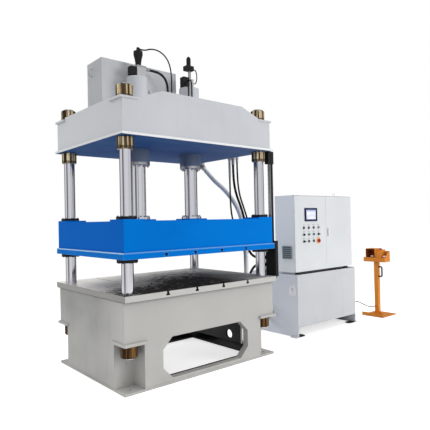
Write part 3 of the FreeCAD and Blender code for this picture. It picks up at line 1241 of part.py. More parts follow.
pedestal_stand()
pedestal_head()
grip_y = "pedestal_y - post_wide/2"
bent_bar("pedestal_handle", "grip_dia",
         [("pedestal_x", grip_y, "grip_low"), ("pedestal_x", f"{grip_y} - grip_out", "grip_low"),
          ("pedestal_x", f"{grip_y} - grip_out", "grip_low + grip_high"),
          ("pedestal_x", grip_y, "grip_low + grip_high")])
for palm in PALMS:
    palm_button(*palm)
pedestal_stop()

# ---------------------------------------------------------------- hoses and cables
switch_side = "lower_switch_y + lower_switch_wid/2 + 20"
plug_x = "-cylinder_pitch/2"


def hung(name, dia, start, end, route):
    """A hose on its drawn route, its ends moved to their fittings, the change spread between."""
    first = [number(text) - drawn for text, drawn in zip(start, route[0])]
    last = [number(text) - drawn for text, drawn in zip(end, route[-1])]
    spots = []
    for index, spot in enumerate(route):
        share = min(max((index - 1) / (len(route) - 3), 0), 1)
        spots.append([drawn + (1 - share) * near + share * far
                      for drawn, near, far in zip(spot, first, last)])
    return bent_bar(name, dia, spots)


hung("return_hose", "return_dia",
     ("fitting_x", "return_y - 37", f"{crown_deck} - 83"),
     ("tank_left - return_port_long", "return_port_y", "return_port_z"),
     [(954, 534, 2081), (954, 349, 1916), (985, 176, 1789), (1008, -23, 1576),
      (1012, -110, 1329), (1013, -137, 1069), (1014, -134, 813), (1016, -130, 600),
      (1028, -122, 420), (1080, -100, 270), (1194, -48, 188), (1345, 62, 190), (1508, 62, 190)])
hung("pilot_hose_rear", "pilot_dia",
     ("fitting_x", "pilot_rear_y", f"{crown_deck} - sleeve_rear"),
     ("tank_left - port_long", "rear_port_y", "pilot_port_z"),
     [(954, 51, 1934), (954, 51, 1720), (956, 42, 1500), (985, 18, 1340), (1028, -30, 1200),
      (1048, -78, 1050), (1050, -84, 850), (1056, -72, 660), (1072, -40, 490), (1125, 30, 370),
      (1215, 110, 320), (1325, 190, 346), (1420, 190, 400), (1528, 190, 400)])
hung("pilot_hose_front", "pilot_dia",
     ("fitting_x", "pilot_front_y", f"{crown_deck} - sleeve_front"),
     ("tank_left - port_long", "front_port_y", "pilot_port_z"),
     [(954, -79, 2086), (954, -79, 1900), (962, -100, 1711), (985, -146, 1560),
      (992, -192, 1430), (1012, -196, 1300), (1066, -158, 1180), (1088, -82, 1030),
      (1092, -64, 850), (1098, -50, 680), (1122, -16, 540), (1190, 44, 450), (1284, 112, 394),
      (1400, 130, 400), (1528, 130, 400)])
hung("conduit_upper", "conduit_dia",
     ("fitting_x", "conduit_y", f"{crown_deck} - sleeve_conduit"),
     ("rail_x", switch_side, "conduit_upper_z"),
     [(954, -10, 2070), (954, -10, 1900), (952, -54, 1720), (950, -150, 1540),
      (950, -205, 1360), (950, -214, 1200), (948, -252, 1060), (940, -345, 1000),
      (932, -430, 1009), (932, -524.5, 1009)])
hung("conduit_lower", "conduit_dia",
     ("rail_x", switch_side, "conduit_lower_z"),
     ("tank_left - port_long", "conduit_port_y", "conduit_port_z"),
     [(932, -524.5, 930), (932, -430, 930), (943, -335, 900), (950, -255, 806),
      (962, -220, 680), (973, -202, 540), (995, -186, 400), (1060, -172, 280),
      (1175, -138, 216), (1310, -50, 216), (1415, -20, 250), (1528, -20, 250)])
hung("valve_cable", "valve_cable_dia",
     (f"{plug_x} + 44", 0, "cylinder_top + 301"), (88, 0, f"{prefill_low} + 40"),
     [(-284, 0, 3163), (-230, 0, 3163), (-165, 0, 3194), (-85, 0, 3203), (-10, 0, 3182),
      (50, 0, 3132), (84, 0, 3060), (98, 0, 2970), (98.5, 0, 2870), (94, 0, 2770),
      (88, 0, 2680), (88, 0, 2597)])
hung("valve_hose", "valve_hose_dia",
     (f"{plug_x} + 146", 0, "cylinder_top + 110"), (40, 0, f"{prefill_low} + 48"),
     [(-182, 0, 2972), (-116, 0, 2972), (-50, 0, 2964), (6, 0, 2932), (38, 0, 2876),
      (47, 0, 2810), (46, 0, 2740), (40, 0, 2672), (40, 0, 2605)])
hung("pedestal_cable", "pedestal_cable_dia",
     (f"{tank_right} + 24", "cable_y", "cable_out_z"),
     ("pedestal_x - post_wide/2 - 22", "cable_y", "cable_in_z"),
     [(2800, -395, 270), (2860, -395, 270), (2960, -394, 236), (3080, -392, 186),
      (3190, -393, 146), (3288, -395, 135), (3348, -395, 135)])

# ---------------------------------------------------------------- checks and files
NODES = """
base_plate bed_window_plates bed_cross_plates bed_corner_seats bolster_plate columns column_nuts
crown_base_plate crown_gable_plates crown_cross_plates crown_corner_plates crown_roof
main_cylinders cylinder_glands prefill_tank cylinder_valves valve_plugs hose_bracket
hose_fittings limit_rail limit_switches slide_frame slide_platen piston_rods guide_bushes
guide_covers oil_tank tank_cover cabinet switchgear_panel pump_motor vent_cover door_left
hmi_panel button_bezels indicator_lamps key_switch mode_switch pressure_switch start_button
raise_button lower_button emergency_stop door_right door_handle pedestal_stand pedestal_head
pedestal_handle palm_button_left palm_button_right pedestal_stop return_hose pilot_hose_rear
pilot_hose_front conduit_upper conduit_lower valve_cable valve_hose pedestal_cable
""".split()

doc.recompute()
for piece in doc.Objects:
    if "Invalid" in piece.State or "Error" in piece.State:
        raise RuntimeError(f"{piece.Label} failed: {piece.State}")
os.makedirs("parts", exist_ok=True)
for name in NODES:
    piece = doc.getObject(name)
    piece.Label = name
    shape = piece.Shape
    if shape.isNull() or not shape.isValid() or not shape.Solids:
        raise RuntimeError(f"{name} has no valid solid")
    shape.exportStep(f"parts/{name}.step")
print(len(NODES), "sub-parts written")
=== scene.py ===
import math

import bmesh
import bpy
from mathutils import Matrix, Vector


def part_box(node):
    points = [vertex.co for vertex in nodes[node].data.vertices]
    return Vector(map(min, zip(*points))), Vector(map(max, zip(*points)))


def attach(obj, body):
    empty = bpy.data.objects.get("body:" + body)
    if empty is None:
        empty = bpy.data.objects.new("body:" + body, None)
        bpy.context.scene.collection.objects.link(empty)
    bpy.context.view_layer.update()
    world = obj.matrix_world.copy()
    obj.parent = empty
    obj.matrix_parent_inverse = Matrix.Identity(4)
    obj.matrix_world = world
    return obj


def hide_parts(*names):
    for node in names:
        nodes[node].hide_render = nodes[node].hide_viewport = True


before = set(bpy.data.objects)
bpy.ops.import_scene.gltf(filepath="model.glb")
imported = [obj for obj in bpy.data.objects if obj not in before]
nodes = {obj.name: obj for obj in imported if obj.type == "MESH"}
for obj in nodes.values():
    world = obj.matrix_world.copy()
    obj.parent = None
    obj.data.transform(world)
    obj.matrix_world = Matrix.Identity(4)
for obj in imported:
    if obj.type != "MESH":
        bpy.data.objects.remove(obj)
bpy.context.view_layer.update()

# ------------------------------------------------------------- camera, as in the photograph
EYE = Vector((-2.7586, -4.0096, 1.4202))                 # metres
HEADING, PITCH, ROLL = 0.7070168, 0.011776, -0.020604    # radians
FOCAL_PX, FRAME_PX = 462.7778, 430
SENSOR_MM = 36

ahead = Vector((math.sin(HEADING) * math.cos(PITCH), math.cos(HEADING) * math.cos(PITCH),
                math.sin(PITCH)))
across = Vector((math.cos(HEADING), -math.sin(HEADING), 0))
upward = across.cross(ahead)
turned_across = math.cos(ROLL) * across + math.sin(ROLL) * upward
turned_upward = math.cos(ROLL) * upward - math.sin(ROLL) * across
lens = bpy.data.cameras.new("camera")
lens.sensor_width = SENSOR_MM
lens.lens = SENSOR_MM * FOCAL_PX / FRAME_PX
lens.clip_start, lens.clip_end = 0.05, 200
camera = bpy.data.objects.new("camera", lens)
bpy.context.scene.collection.objects.link(camera)
camera.matrix_world = Matrix((
    (turned_across.x, turned_upward.x, -ahead.x, EYE.x),
    (turned_across.y, turned_upward.y, -ahead.y, EYE.y),
    (turned_across.z, turned_upward.z, -ahead.z, EYE.z),
    (0, 0, 0, 1)))
bpy.context.scene.camera = camera


# ------------------------------------------------------------- material maths
class Value:
    """A number, colour or vector on its way through a node tree, with the usual signs for sums."""

    def __init__(self, maker, socket):
        self.maker, self.socket = maker, socket

    def sum(self, kind, first, second):
        """One step of maths, named as Blender names it."""
        return self.maker.node("ShaderNodeMath", {"operation": kind}, [first, second])

    def __add__(self, other):
        return self.sum("ADD", self, other)

    def __sub__(self, other):
        return self.sum("SUBTRACT", self, other)

    def __rsub__(self, other):
        return self.sum("SUBTRACT", other, self)

    def __mul__(self, other):
        return self.sum("MULTIPLY", self, other)

    def __truediv__(self, other):
        return self.sum("DIVIDE", self, other)

    def __mod__(self, other):
        return self.sum("FLOORED_MODULO", self, other)

    def __gt__(self, other):
        return self.sum("GREATER_THAN", self, other)

    def __lt__(self, other):
        return self.sum("LESS_THAN", self, other)

    def __or__(self, other):
        """The larger of two numbers, so either of two masks."""
        return self.sum("MAXIMUM", self, other)

    def __abs__(self):
        return self.sum("ABSOLUTE", self, 0)

    __radd__, __rmul__ = __add__, __mul__


class Shader:
    """A node tree that is built up node by node."""

    def __init__(self, owner):
        owner.use_nodes = True
        self.tree = owner.node_tree

    def plug(self, socket, value):
        """Links a value to a socket, or sets the socket to a plain number or colour."""
        if isinstance(value, Value):
            self.tree.links.new(value.socket, socket)
        elif isinstance(value, tuple) and len(value) == 3 and socket.type == "RGBA":
            socket.default_value = (*value, 1)
        else:
            socket.default_value = value

    def node(self, kind, settings=None, inputs=(), out=0):
        """Adds a node: its settings or ramp stops first, then its inputs by place or by name."""
        node = self.tree.nodes.new(kind)
        for name, value in (settings or {}).items():
            if name == "stops":
                ramp = node.color_ramp.elements
                while len(ramp) < len(value):
                    ramp.new(0.5)
                for stop, (where, level) in zip(ramp, value):
                    stop.position = where
                    stop.color = (level, level, level, 1)
            else:
                setattr(node, name, value)
        pairs = inputs.items() if isinstance(inputs, dict) else enumerate(inputs)
        for key, value in pairs:
            self.plug(node.inputs[key], value)
        return Value(self, node.outputs[out])

    def parts(self, vector):
        """The three numbers of a vector."""
        split = self.node("ShaderNodeSeparateXYZ", inputs=[vector]).socket.node
        return [Value(self, socket) for socket in split.outputs]

    def ramp(self, value, *stops):
        """A value through a curve of (where, level) stops."""
        return self.node("ShaderNodeValToRGB", {"stops": stops}, [value])

    def rays(self, kind):
        """1 for one kind of ray, such as Camera or Glossy, and 0 for the others."""
        return self.node("ShaderNodeLightPath", out=f"Is {kind} Ray")


# places of the colour sockets on a Mix node: three inputs and the output
MIX_SHARE, MIX_FIRST, MIX_SECOND, MIX_RESULT = 0, 6, 7, 2


class Finish(Shader):
    """A material round one Principled surface, its base colour laid on tint by tint."""

    def __init__(self, name, base, **settings):
        self.material = bpy.data.materials.new(name)
        super().__init__(self.material)
        self.surface = self.tree.nodes["Principled BSDF"]
        self.base = base
        self.set(Base_Color=base, **settings)
        self.place = self.node("ShaderNodeTexCoord", out="Object")
        self.x, self.y, self.z = self.parts(self.place)

    def set(self, **settings):
        """Sets sockets of the surface; an underscore stands for a space in their names."""
        for name, value in settings.items():
            self.plug(self.surface.inputs[name.replace("_", " ")], value)

    def mix(self, share, first, second):
        """One colour over another by a share from 0 to 1."""
        node = self.tree.nodes.new("ShaderNodeMix")
        node.data_type = "RGBA"
        for place, value in ((MIX_SHARE, share), (MIX_FIRST, first), (MIX_SECOND, second)):
            self.plug(node.inputs[place], value)
        return Value(self, node.outputs[MIX_RESULT])

    def tint(self, share, colour):
        """Lays a colour over the base colour by a share from 0 to 1."""
        self.base = self.mix(share, self.base, colour)
        self.set(Base_Color=self.base)

    def noise(self, scale, detail, roughness=0.55, stretch=(1, 1, 1)):
        """Even noise about 0.5, drawn out along an axis where stretch is below 1."""
        spot = self.node("ShaderNodeMapping", inputs={"Vector": self.place, "Scale": stretch})
        return self.node("ShaderNodeTexNoise", inputs={
            "Vector": spot, "Scale": scale, "Detail": detail, "Roughness": roughness})

    def within(self, **limits):
        """1 between the limits along x, y or z, 0 elsewhere; None leaves that side open."""
        inside = 1
        for axis, (low, high) in limits.items():
            place = getattr(self, axis)
            if low is not None:
                inside = (place > low) * inside
            if high is not None:
                inside = (place < high) * inside
        return inside

    def bump(self, height, strength, distance, normal=None):
        """A normal that follows a height, on top of another normal."""
        inputs = {"Strength": strength, "Distance": distance, "Height": height}
        if normal:
            inputs["Normal"] = normal
        return self.node("ShaderNodeBump", inputs=inputs)

    def eased_edges(self, radius):
        """The normal of edges that are rounded by a small radius."""
        return self.node("ShaderNodeBevel", {"samples": 4}, {"Radius": radius})

    def edge_mask(self, eased):
        """1 on a rounded edge, 0 on a flat face."""
        flat = self.node("ShaderNodeNewGeometry", out="Normal")
        dot = self.node("ShaderNodeVectorMath", {"operation": "DOT_PRODUCT"}, [eased, flat],
                        out="Value")
        return self.ramp(1 - dot, (0.02, 0), (0.25, 1))

    def facing(self):
        """The three numbers of the way a face looks."""
        return self.parts(self.node("ShaderNodeNewGeometry", out="Normal"))

    def looks_left(self):
        """1 on faces that look to the left, 0 elsewhere."""
        return self.facing()[0] < -0.5

    def looks_down(self):
        """1 on faces that look down, 0 elsewhere."""
        return self.facing()[2] < -0.5


def toned(colour, share, lift=0.0):
    """A colour times a share, raised by a lift."""
    return tuple(lift + share * part for part in colour)


# ------------------------------------------------------------- colours
LIGHT_GREY = (0.620, 0.638, 0.675)
WARM_GREY = (0.520, 0.510, 0.490)
SHADE_BLUE = (0.040, 0.115, 0.280)
SLIDE_BLUE = (0.000, 0.185, 0.660)
SLIDE_SHADE = (0.000, 0.140, 0.540)
# painted shade for the slide's and platen's undersides
SLIDE_UNDERSIDE_SHADE = (0.000, 0.035, 0.160)
# black that stands for shade, painted inside the bed and on the table's lowest edge
SHADE_BLACK = (0.012, 0.012, 0.013)
# black that stands for shade, below the tank and between the vent's louvres
COLD_SHADE_BLACK = (0.012, 0.013, 0.015)

# ------------------------------------------------------------- where a look changes, in metres
NEAR_FACE = 0.001                    # a spot this near to a face counts as on it
# inside the bed, painted black as shade
BED_MIDDLE = {"x": (-0.694, 0.694), "y": (-0.584, 0.634)}
BED_ENDS = {"x": (-0.868, 0.868), "y": (-0.474, 0.474)}
# depth of the painted shadow line on the bed below the table
BED_SEAM = 0.005
BARREL_BELOW_CROWN = {"z": (None, 2.143)}
UPPER_NUT_FOOT = {"z": (2.464, 2.490)}
LOWER_NUT_FOOT = {"z": (2.032, 2.060)}
# height of the platen's painted highlight along its top ledge
PLATEN_LEDGE = 0.011
# the table's lowest edge, painted black as shade
TABLE_LIP = 0.002
SCALE_STEP, SCALE_LONG_STEP = 0.01, 0.05
SCALE_LINE, SCALE_LONG_LINE = 0.0016, 0.0022
SCALE_SHORT_ENDS, SCALE_COVER = -0.604, -0.624
VALVE_NOZZLE = {"x": (-0.2405, 0)}
VALVE_STEM = {"z": (2.972, None)}
# where the painted shadow line along the door tops lies
DOOR_GAP_SHADE = {"y": (None, -0.405), "z": (1.6960, 1.7045)}
# where the gap below the cabinet is painted black as shade
TANK_GAP = {"x": (1.60, None), "y": (None, -0.37), "z": (0.7475, None)}
# where the far feet are painted dark as shade
TANK_FAR_FEET = {"x": (2.7, None), "z": (None, 0.14)}
TANK_LUGS = {"x": (None, 1.5675), "z": (0.4, None)}
# the recesses between the vent's louvres, painted black as shade
VENT_LOUVRES = {"x": (1.5405, None)}
# inside the pedestal's hood, painted dark as shade
HOOD_INSIDE = {"y": (-0.4155, -0.2765), "z": (0.8365, 0.9605)}


# ------------------------------------------------------------- paints, metals and plastics
def enamel(name, colour, rough, coat=0.0, wear=0.35, grime=0.25, dark=None, edge=0.004,
           rim=None, left=None, underside_shade=None, gloss=0.5):
    """Sprayed machine paint: cloudy tone, orange peel, rubbed edges, dust low down. Its rounded
    edges can take a painted highlight, left faces painted light or shade, undersides painted shade."""
    paint = Finish(name, colour, Metallic=0.0, Coat_Weight=coat, Coat_Roughness=0.12,
                   Specular_IOR_Level=gloss)
    eased = paint.eased_edges(edge)
    edges = paint.edge_mask(eased)
    cloud = paint.noise(1.4, 3)
    streak = paint.noise(7.0, 5, 0.6, (1, 1, 0.12))
    peel = paint.noise(120, 3)
    soil = paint.ramp(streak, (0.56, 0), (0.78, 1)) * grime
    dust = paint.ramp(paint.noise(5, 5), (0.38, 0), (0.7, 1))
    low = paint.ramp(paint.z, (0.0, 1), (0.30, 0)) * dust
    rubbed = edges * paint.ramp(paint.noise(26, 5, 0.65), (0.47, 0), (0.6, 1)) * wear
    paint.tint(paint.ramp(cloud, (0.36, 0), (0.72, 0.6)), dark or toned(colour, 0.86))
    paint.tint(soil + low * 0.22, toned(colour, 0.55))
    paint.tint(rubbed, toned(colour, 0.5, 0.3))
    # painted highlight along the rounded edges
    if rim:
        paint.tint(edges * (0.55 + 0.45 * cloud), rim)
    # painted light or shade on faces that look left
    if left:
        paint.tint(paint.looks_left() * 0.85, left)
    # painted shade on faces that look down
    if underside_shade:
        paint.tint(paint.looks_down(), underside_shade)
    paint.set(Roughness=rough + 0.12 * (cloud - 0.5) + 0.25 * soil + 0.15 * low,
              Normal=paint.bump(peel, 0.05, 0.0006, eased))
    return paint


def bed_enamel():
    """The bed's paint: painted shade in black between its plates, a painted shadow line below the
    table, and painted shade on its left side, most of all high up and far back."""
    paint = enamel("bed_paint", WARM_GREY, 0.42, grime=0.2, gloss=0.3)
    # painted shade: black on the plates inside the bed
    paint.tint(paint.within(**BED_MIDDLE) | paint.within(**BED_ENDS), SHADE_BLACK)
    # painted shadow: a dark band on the bed just below the table
    paint.tint(paint.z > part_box("bolster_plate")[0].z - BED_SEAM, (0.12, 0.12, 0.115))
    # painted shade on the left side, deeper high up and far back, in cloudy patches
    high = paint.ramp(paint.z, (0.10, 0.35), (0.62, 1))
    far = paint.ramp(paint.y + 0.65, (0.05, 0), (0.5, 1))
    cloud = paint.ramp(paint.noise(2.2, 4), (0.30, 0.55), (0.62, 1))
    paint.tint(high * far * cloud * paint.looks_left() * 0.8, (0.235, 0.240, 0.225))
    return paint.material


def barrel_enamel():
    """The cylinders' paint, with painted shade in blue-grey below the crown."""
    paint = enamel("barrel_paint", LIGHT_GREY, 0.34, 0.1, grime=0.2, gloss=0.3)
    # painted shade: blue-grey on the barrels below the crown
    paint.tint(paint.within(**BARREL_BELOW_CROWN), (0.150, 0.190, 0.270))
    return paint.material


def deck_enamel():
    """The crown's base plate: painted highlight on its side faces and edges, and painted shade in
    blue-grey on its underside, with a painted blue reflection, paler and streakier to the right."""
    # painted highlight along the rounded edges, painted shade on the underside
    paint = enamel("crown_deck_paint", LIGHT_GREY, 0.65, grime=0.1, edge=0.009,
                   rim=(0.84, 0.85, 0.86), underside_shade=SHADE_BLUE, gloss=0.03)
    # painted blue reflection over the painted shade below, paler and streakier to the right
    down = paint.looks_down()
    right = paint.x * 0.5 + 0.5
    reflection_streaks = paint.ramp(paint.noise(2.6, 5, 0.6, (0.3, 1, 1)), (0.46, 0), (0.66, 1))
    paint.tint(down * paint.ramp(right, (0.30, 0), (0.75, 0.7)), (0.170, 0.225, 0.370))
    paint.tint(down * reflection_streaks * paint.ramp(right, (0.1, 0.25), (0.9, 0.75)),
               (0.150, 0.240, 0.400))
    # painted highlight on the side faces
    paint.tint((abs(paint.facing()[2]) < 0.5) * 0.9, (0.93, 0.94, 0.95))
    return paint.material


def platen_enamel():
    """The platen's blue: painted highlight on its top ledge and edges, painted shade underneath."""
    paint = enamel("platen_blue", SLIDE_BLUE, 0.40, wear=0.4, grime=0.08, dark=SLIDE_SHADE,
                   edge=0.008, rim=(0.30, 0.58, 0.92), underside_shade=SLIDE_UNDERSIDE_SHADE, gloss=0.04)
    low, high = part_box("slide_platen")
    at_left = paint.x < low.x + NEAR_FACE
    # painted highlight along the top ledge, strongest on the left face
    paint.tint((paint.z > high.z - PLATEN_LEDGE) * (0.22 + 0.68 * at_left), (0.50, 0.74, 0.97))
    return paint.material


def cabinet_enamel():
    """The cabinet's pale coat: painted light on its left faces, a painted shadow line along the top
    of its doors.
    """
    # painted light on the left faces
    paint = enamel("cabinet_coat", (0.700, 0.720, 0.735), 0.45, wear=0.15, grime=0.1,
                   edge=0.002, left=(0.930, 0.965, 0.990), gloss=0.3)
    # painted shadow in the gap along the top of the doors
    paint.tint(paint.within(**DOOR_GAP_SHADE) * 0.7, (0.33, 0.31, 0.32))
    return paint.material


def tank_enamel():
    """The tank's paint: paler lugs, painted light on its left faces, and painted shade in black in
    the gap below the cabinet, underneath, and round the feet at its far end."""
    # painted light on the left faces, painted shade underneath
    paint = enamel("tank_coat", (0.580, 0.595, 0.615), 0.42, grime=0.2, left=(0.830, 0.870, 0.950),
                   underside_shade=COLD_SHADE_BLACK, gloss=0.3)
    # painted shade on the inner faces of the far feet, deeper further back
    back = paint.ramp(paint.y + 0.5, (0.16, 0), (0.34, 0.9))
    feet = paint.within(**TANK_FAR_FEET) * back * paint.looks_left()
    paint.tint(feet, (0.020, 0.021, 0.024))
    paint.tint(paint.within(**TANK_LUGS), (0.95, 0.95, 0.98))
    # painted shade in the gap below the cabinet
    paint.tint(paint.within(**TANK_GAP), (0.010, 0.010, 0.011))
    return paint.material


def pedestal_enamel():
    """The pedestal's orange, and painted shade in dark red-brown inside its hood."""
    paint = enamel("pedestal_orange", (0.700, 0.250, 0.028), 0.42, wear=0.5, grime=0.35,
                   dark=(0.42, 0.13, 0.014), edge=0.002, gloss=0.3)
    # painted shade inside the hood
    paint.tint(paint.within(**HOOD_INSIDE) * 0.85, (0.260, 0.055, 0.022))
    return paint.material


def valve_enamel():
    """Pale enamel on the valve blocks, steel on their nozzle and stem."""
    paint = enamel("valve_block_coat", (0.50, 0.50, 0.51), 0.4, 0.1, edge=0.002)
    metal = paint.within(**VALVE_STEM) + paint.within(**VALVE_NOZZLE)
    paint.tint(metal, (0.42, 0.42, 0.44))
    paint.set(Metallic=metal)
    return paint.material


def vent_enamel():
    """Blue-grey enamel on the vent's hood, with painted shade in black between its louvres."""
    paint = enamel("vent_coat", (0.235, 0.295, 0.315), 0.5, wear=0.2, edge=0.0015)
    # painted shade in the recesses between the louvres
    paint.tint(paint.within(**VENT_LOUVRES), COLD_SHADE_BLACK)
    return paint.material


def bare_steel(name, colour, rough=0.3, scale=60):
    """Machined or plated steel: tool marks, stains and bright worn edges."""
    steel = Finish(name, colour, Metallic=1.0)
    eased = steel.eased_edges(0.0015)
    marks = steel.noise(scale, 6, 0.7)
    blot = steel.noise(6, 5)
    steel.tint(steel.ramp(blot, (0.4, 0), (0.7, 0.3)), toned(colour, 0.5))
    steel.tint(steel.ramp(marks, (0.35, 0), (0.7, 0.35)), toned(colour, 0.7))
    steel.tint(steel.edge_mask(eased) * 0.5, (0.72, 0.71, 0.69))
    steel.set(Roughness=rough + 0.18 * (marks - 0.5) + 0.15 * (blot - 0.5),
              Normal=steel.bump(marks, 0.12, 0.0004, eased))
    return steel


def scale_strip():
    """The scale rail: pale steel with its ruled lines, and the dark strip over its wires."""
    strip = bare_steel("scale_strip", (0.62, 0.62, 0.61), 0.34)
    short = ((strip.z % SCALE_STEP) < SCALE_LINE) * (strip.y < SCALE_SHORT_ENDS)
    ruled = short + ((strip.z % SCALE_LONG_STEP) < SCALE_LONG_LINE)
    cover = strip.y < SCALE_COVER
    strip.tint(ruled * strip.looks_left(), (0.02, 0.02, 0.02))
    strip.tint(cover, (0.02, 0.02, 0.022))
    strip.set(Metallic=1 - cover)
    return strip.material


def ground_chrome():
    """Hard chrome on ground rods: nearly a mirror, with faint rings and a film of oil."""
    chrome = Finish("ground_chrome", (0.64, 0.64, 0.69), Metallic=1.0)
    rings = chrome.noise(700, 2, 0.5, (0.02, 0.02, 1))
    film = chrome.noise(5, 4, 0.6, (1, 1, 0.06))
    chrome.tint(chrome.ramp(film, (0.45, 0), (0.75, 0.5)), (0.48, 0.48, 0.53))
    chrome.set(Roughness=0.09 + 0.04 * rings, Normal=chrome.bump(rings, 0.02, 0.0001))
    return chrome.material


def yellow_zinc():
    """Yellow-passivated nuts: dull gold with a painted reflection as brown bands down the side,
    painted shade on the bed's nuts, and darker round the foot of the crown's."""
    zinc = Finish("yellow_zinc", (0.90, 0.76, 0.50), Metallic=1.0)
    eased = zinc.eased_edges(0.003)
    # painted reflection: vertical brown bands that stand for the facets' reflections
    reflection_stripes = zinc.ramp(zinc.noise(46, 3, 0.5, (1, 1, 0.02)), (0.46, 0), (0.53, 1))
    blot = zinc.noise(40, 6, 0.65)
    # painted shade on the bed's nuts, low in the corner niches, keeping the painted bands
    low = zinc.ramp(zinc.z, (0.5, 1), (0.7, 0))
    bed_nut_shade = zinc.mix(reflection_stripes, (0.19, 0.095, 0.032), (0.030, 0.015, 0.008))
    foot = zinc.within(**UPPER_NUT_FOOT) + zinc.within(**LOWER_NUT_FOOT)
    zinc.tint(reflection_stripes, (0.085, 0.050, 0.028))
    zinc.tint(low, bed_nut_shade)
    zinc.tint(foot * 0.75, (0.070, 0.045, 0.028))
    zinc.tint(zinc.ramp(blot, (0.52, 0), (0.72, 0.5)), (0.08, 0.055, 0.03))
    zinc.tint(zinc.edge_mask(eased) * (0.6 - 0.35 * low), (0.66, 0.58, 0.40))
    zinc.set(Roughness=0.34 + 0.2 * (blot - 0.5), Normal=zinc.bump(blot, 0.05, 0.0004, eased))
    return zinc.material


def table_steel():
    """The planed table: oil-black steel with pale streaky painted highlights towards the back, a
    painted grey reflection to the right and a painted bright reflection at the left back. Its sides
    are painted, with painted shade on the left ones, and its underside is painted shade in black."""
    steel = Finish("table_steel", (0.030, 0.025, 0.022), Specular_IOR_Level=0.12)
    eased = steel.eased_edges(0.003)
    low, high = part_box("bolster_plate")
    half_x, half_y = high.x - NEAR_FACE, high.y - NEAR_FACE
    side = 1 - steel.within(x=(-half_x, half_x), y=(-half_y, half_y))
    planed = steel.noise(70, 6, 0.7, (0.04, 1, 1))
    pool = steel.noise(1.8, 6, 0.65)
    speck = steel.noise(34, 6, 0.75, (0.35, 1, 1))
    drift = pool - 0.5
    # painted reflection and highlights: grey to the right, bright at the left back, pale streaky
    # highlights towards the back
    back = steel.ramp(steel.y * 0.45 - steel.x * 0.22 + 0.5 + 0.5 * drift, (0.34, 0), (0.72, 1))
    right = steel.ramp(steel.x * 0.5 + 0.5 + 0.2 * drift, (0.64, 0), (0.86, 0.9))
    reflection_wash = steel.ramp(steel.y * 0.6 - steel.x * 0.3 + 0.5 + 0.25 * drift, (0.74, 0), (1.0, 0.8))
    highlight_streaks = steel.ramp(speck + 0.26 * back, (0.59, 0), (0.63, 1)) * (0.45 + 0.55 * back)
    steel.tint(steel.ramp(pool, (0.38, 0), (0.62, 1)), (0.006, 0.005, 0.005))
    steel.tint(steel.ramp(planed, (0.52, 0), (0.78, 0.10)), (0.30, 0.28, 0.26))
    steel.tint(right, (0.48, 0.48, 0.48))
    steel.tint(reflection_wash, (0.80, 0.79, 0.77))
    steel.tint(highlight_streaks, (1.0, 0.97, 0.92))
    steel.tint(steel.edge_mask(eased) * 0.9, (0.60, 0.59, 0.57))
    steel.tint(side, (0.56, 0.55, 0.53))
    # painted shade on the painted sides that look left
    steel.tint(side * steel.looks_left() * 0.85, (0.32, 0.315, 0.30))
    # painted shade in black on the underside and the lowest edge, where the table sits on the bed
    steel.tint(steel.z < low.z + TABLE_LIP, SHADE_BLACK)
    shine = (0.35 + 0.45 * reflection_wash) * highlight_streaks + 0.6 * reflection_wash * (1 - highlight_streaks)
    steel.set(Roughness=0.62 + 0.30 * drift + 0.3 * (planed - 0.5) - 0.12 * back - 0.25 * reflection_wash,
              Metallic=shine * (1 - side),
              Normal=steel.bump(planed + 0.5 * speck, 0.12, 0.0006, eased))
    return steel.material


def moulded(name, colour, rough=0.5, grain=0.08, gloss=0.22):
    """Moulded plastic or rubber with a fine skin and greyed edges."""
    skin = Finish(name, colour, Metallic=0.0, Specular_IOR_Level=gloss)
    eased = skin.eased_edges(0.0012)
    fine = skin.noise(350, 3)
    blot = skin.noise(14, 4)
    pale = tuple(min(1.0, part) for part in toned(colour, 1.4, 0.005))
    skin.tint(skin.ramp(blot, (0.4, 0), (0.75, 0.3)), pale)
    skin.tint(skin.edge_mask(eased) * 0.4, pale)
    skin.set(Roughness=rough + 0.2 * (blot - 0.5), Normal=skin.bump(fine, grain, 0.0004, eased))
    return skin.material


def hose_rubber(name, colour, diameter, weave=0.5):
    """A hose cover with its cloth-wrap texture and patches of dust."""
    rubber = Finish(name, colour, Metallic=0.0, Specular_IOR_Level=0.22)
    wrap = rubber.noise(1.6 / diameter, 2, 0.4, (1, 1, 2.5))
    fine = rubber.noise(500, 3)
    dust = rubber.noise(11, 5)
    rubber.tint(rubber.ramp(dust, (0.45, 0), (0.8, 0.5)), toned(colour, 1.3, 0.004))
    rubber.set(Roughness=0.46 + 0.25 * (dust - 0.5),
               Normal=rubber.bump(fine + weave * wrap, 0.14, 0.0008))
    return rubber.material


PANE_GREY = (0.74, 0.75, 0.85)
PANES = (                            # left, right, bottom and top as shares of the screen
    (0.14, 0.86, 0.76, 0.84, (0.30, 0.36, 0.58)),
    (0.16, 0.44, 0.46, 0.70, PANE_GREY),
    (0.48, 0.84, 0.46, 0.70, (0.66, 0.70, 0.84)),
    (0.16, 0.30, 0.20, 0.36, (0.58, 0.66, 0.68)),
    (0.34, 0.48, 0.20, 0.36, PANE_GREY),
    (0.52, 0.66, 0.20, 0.36, PANE_GREY),
    (0.70, 0.84, 0.20, 0.36, (0.68, 0.62, 0.66)))


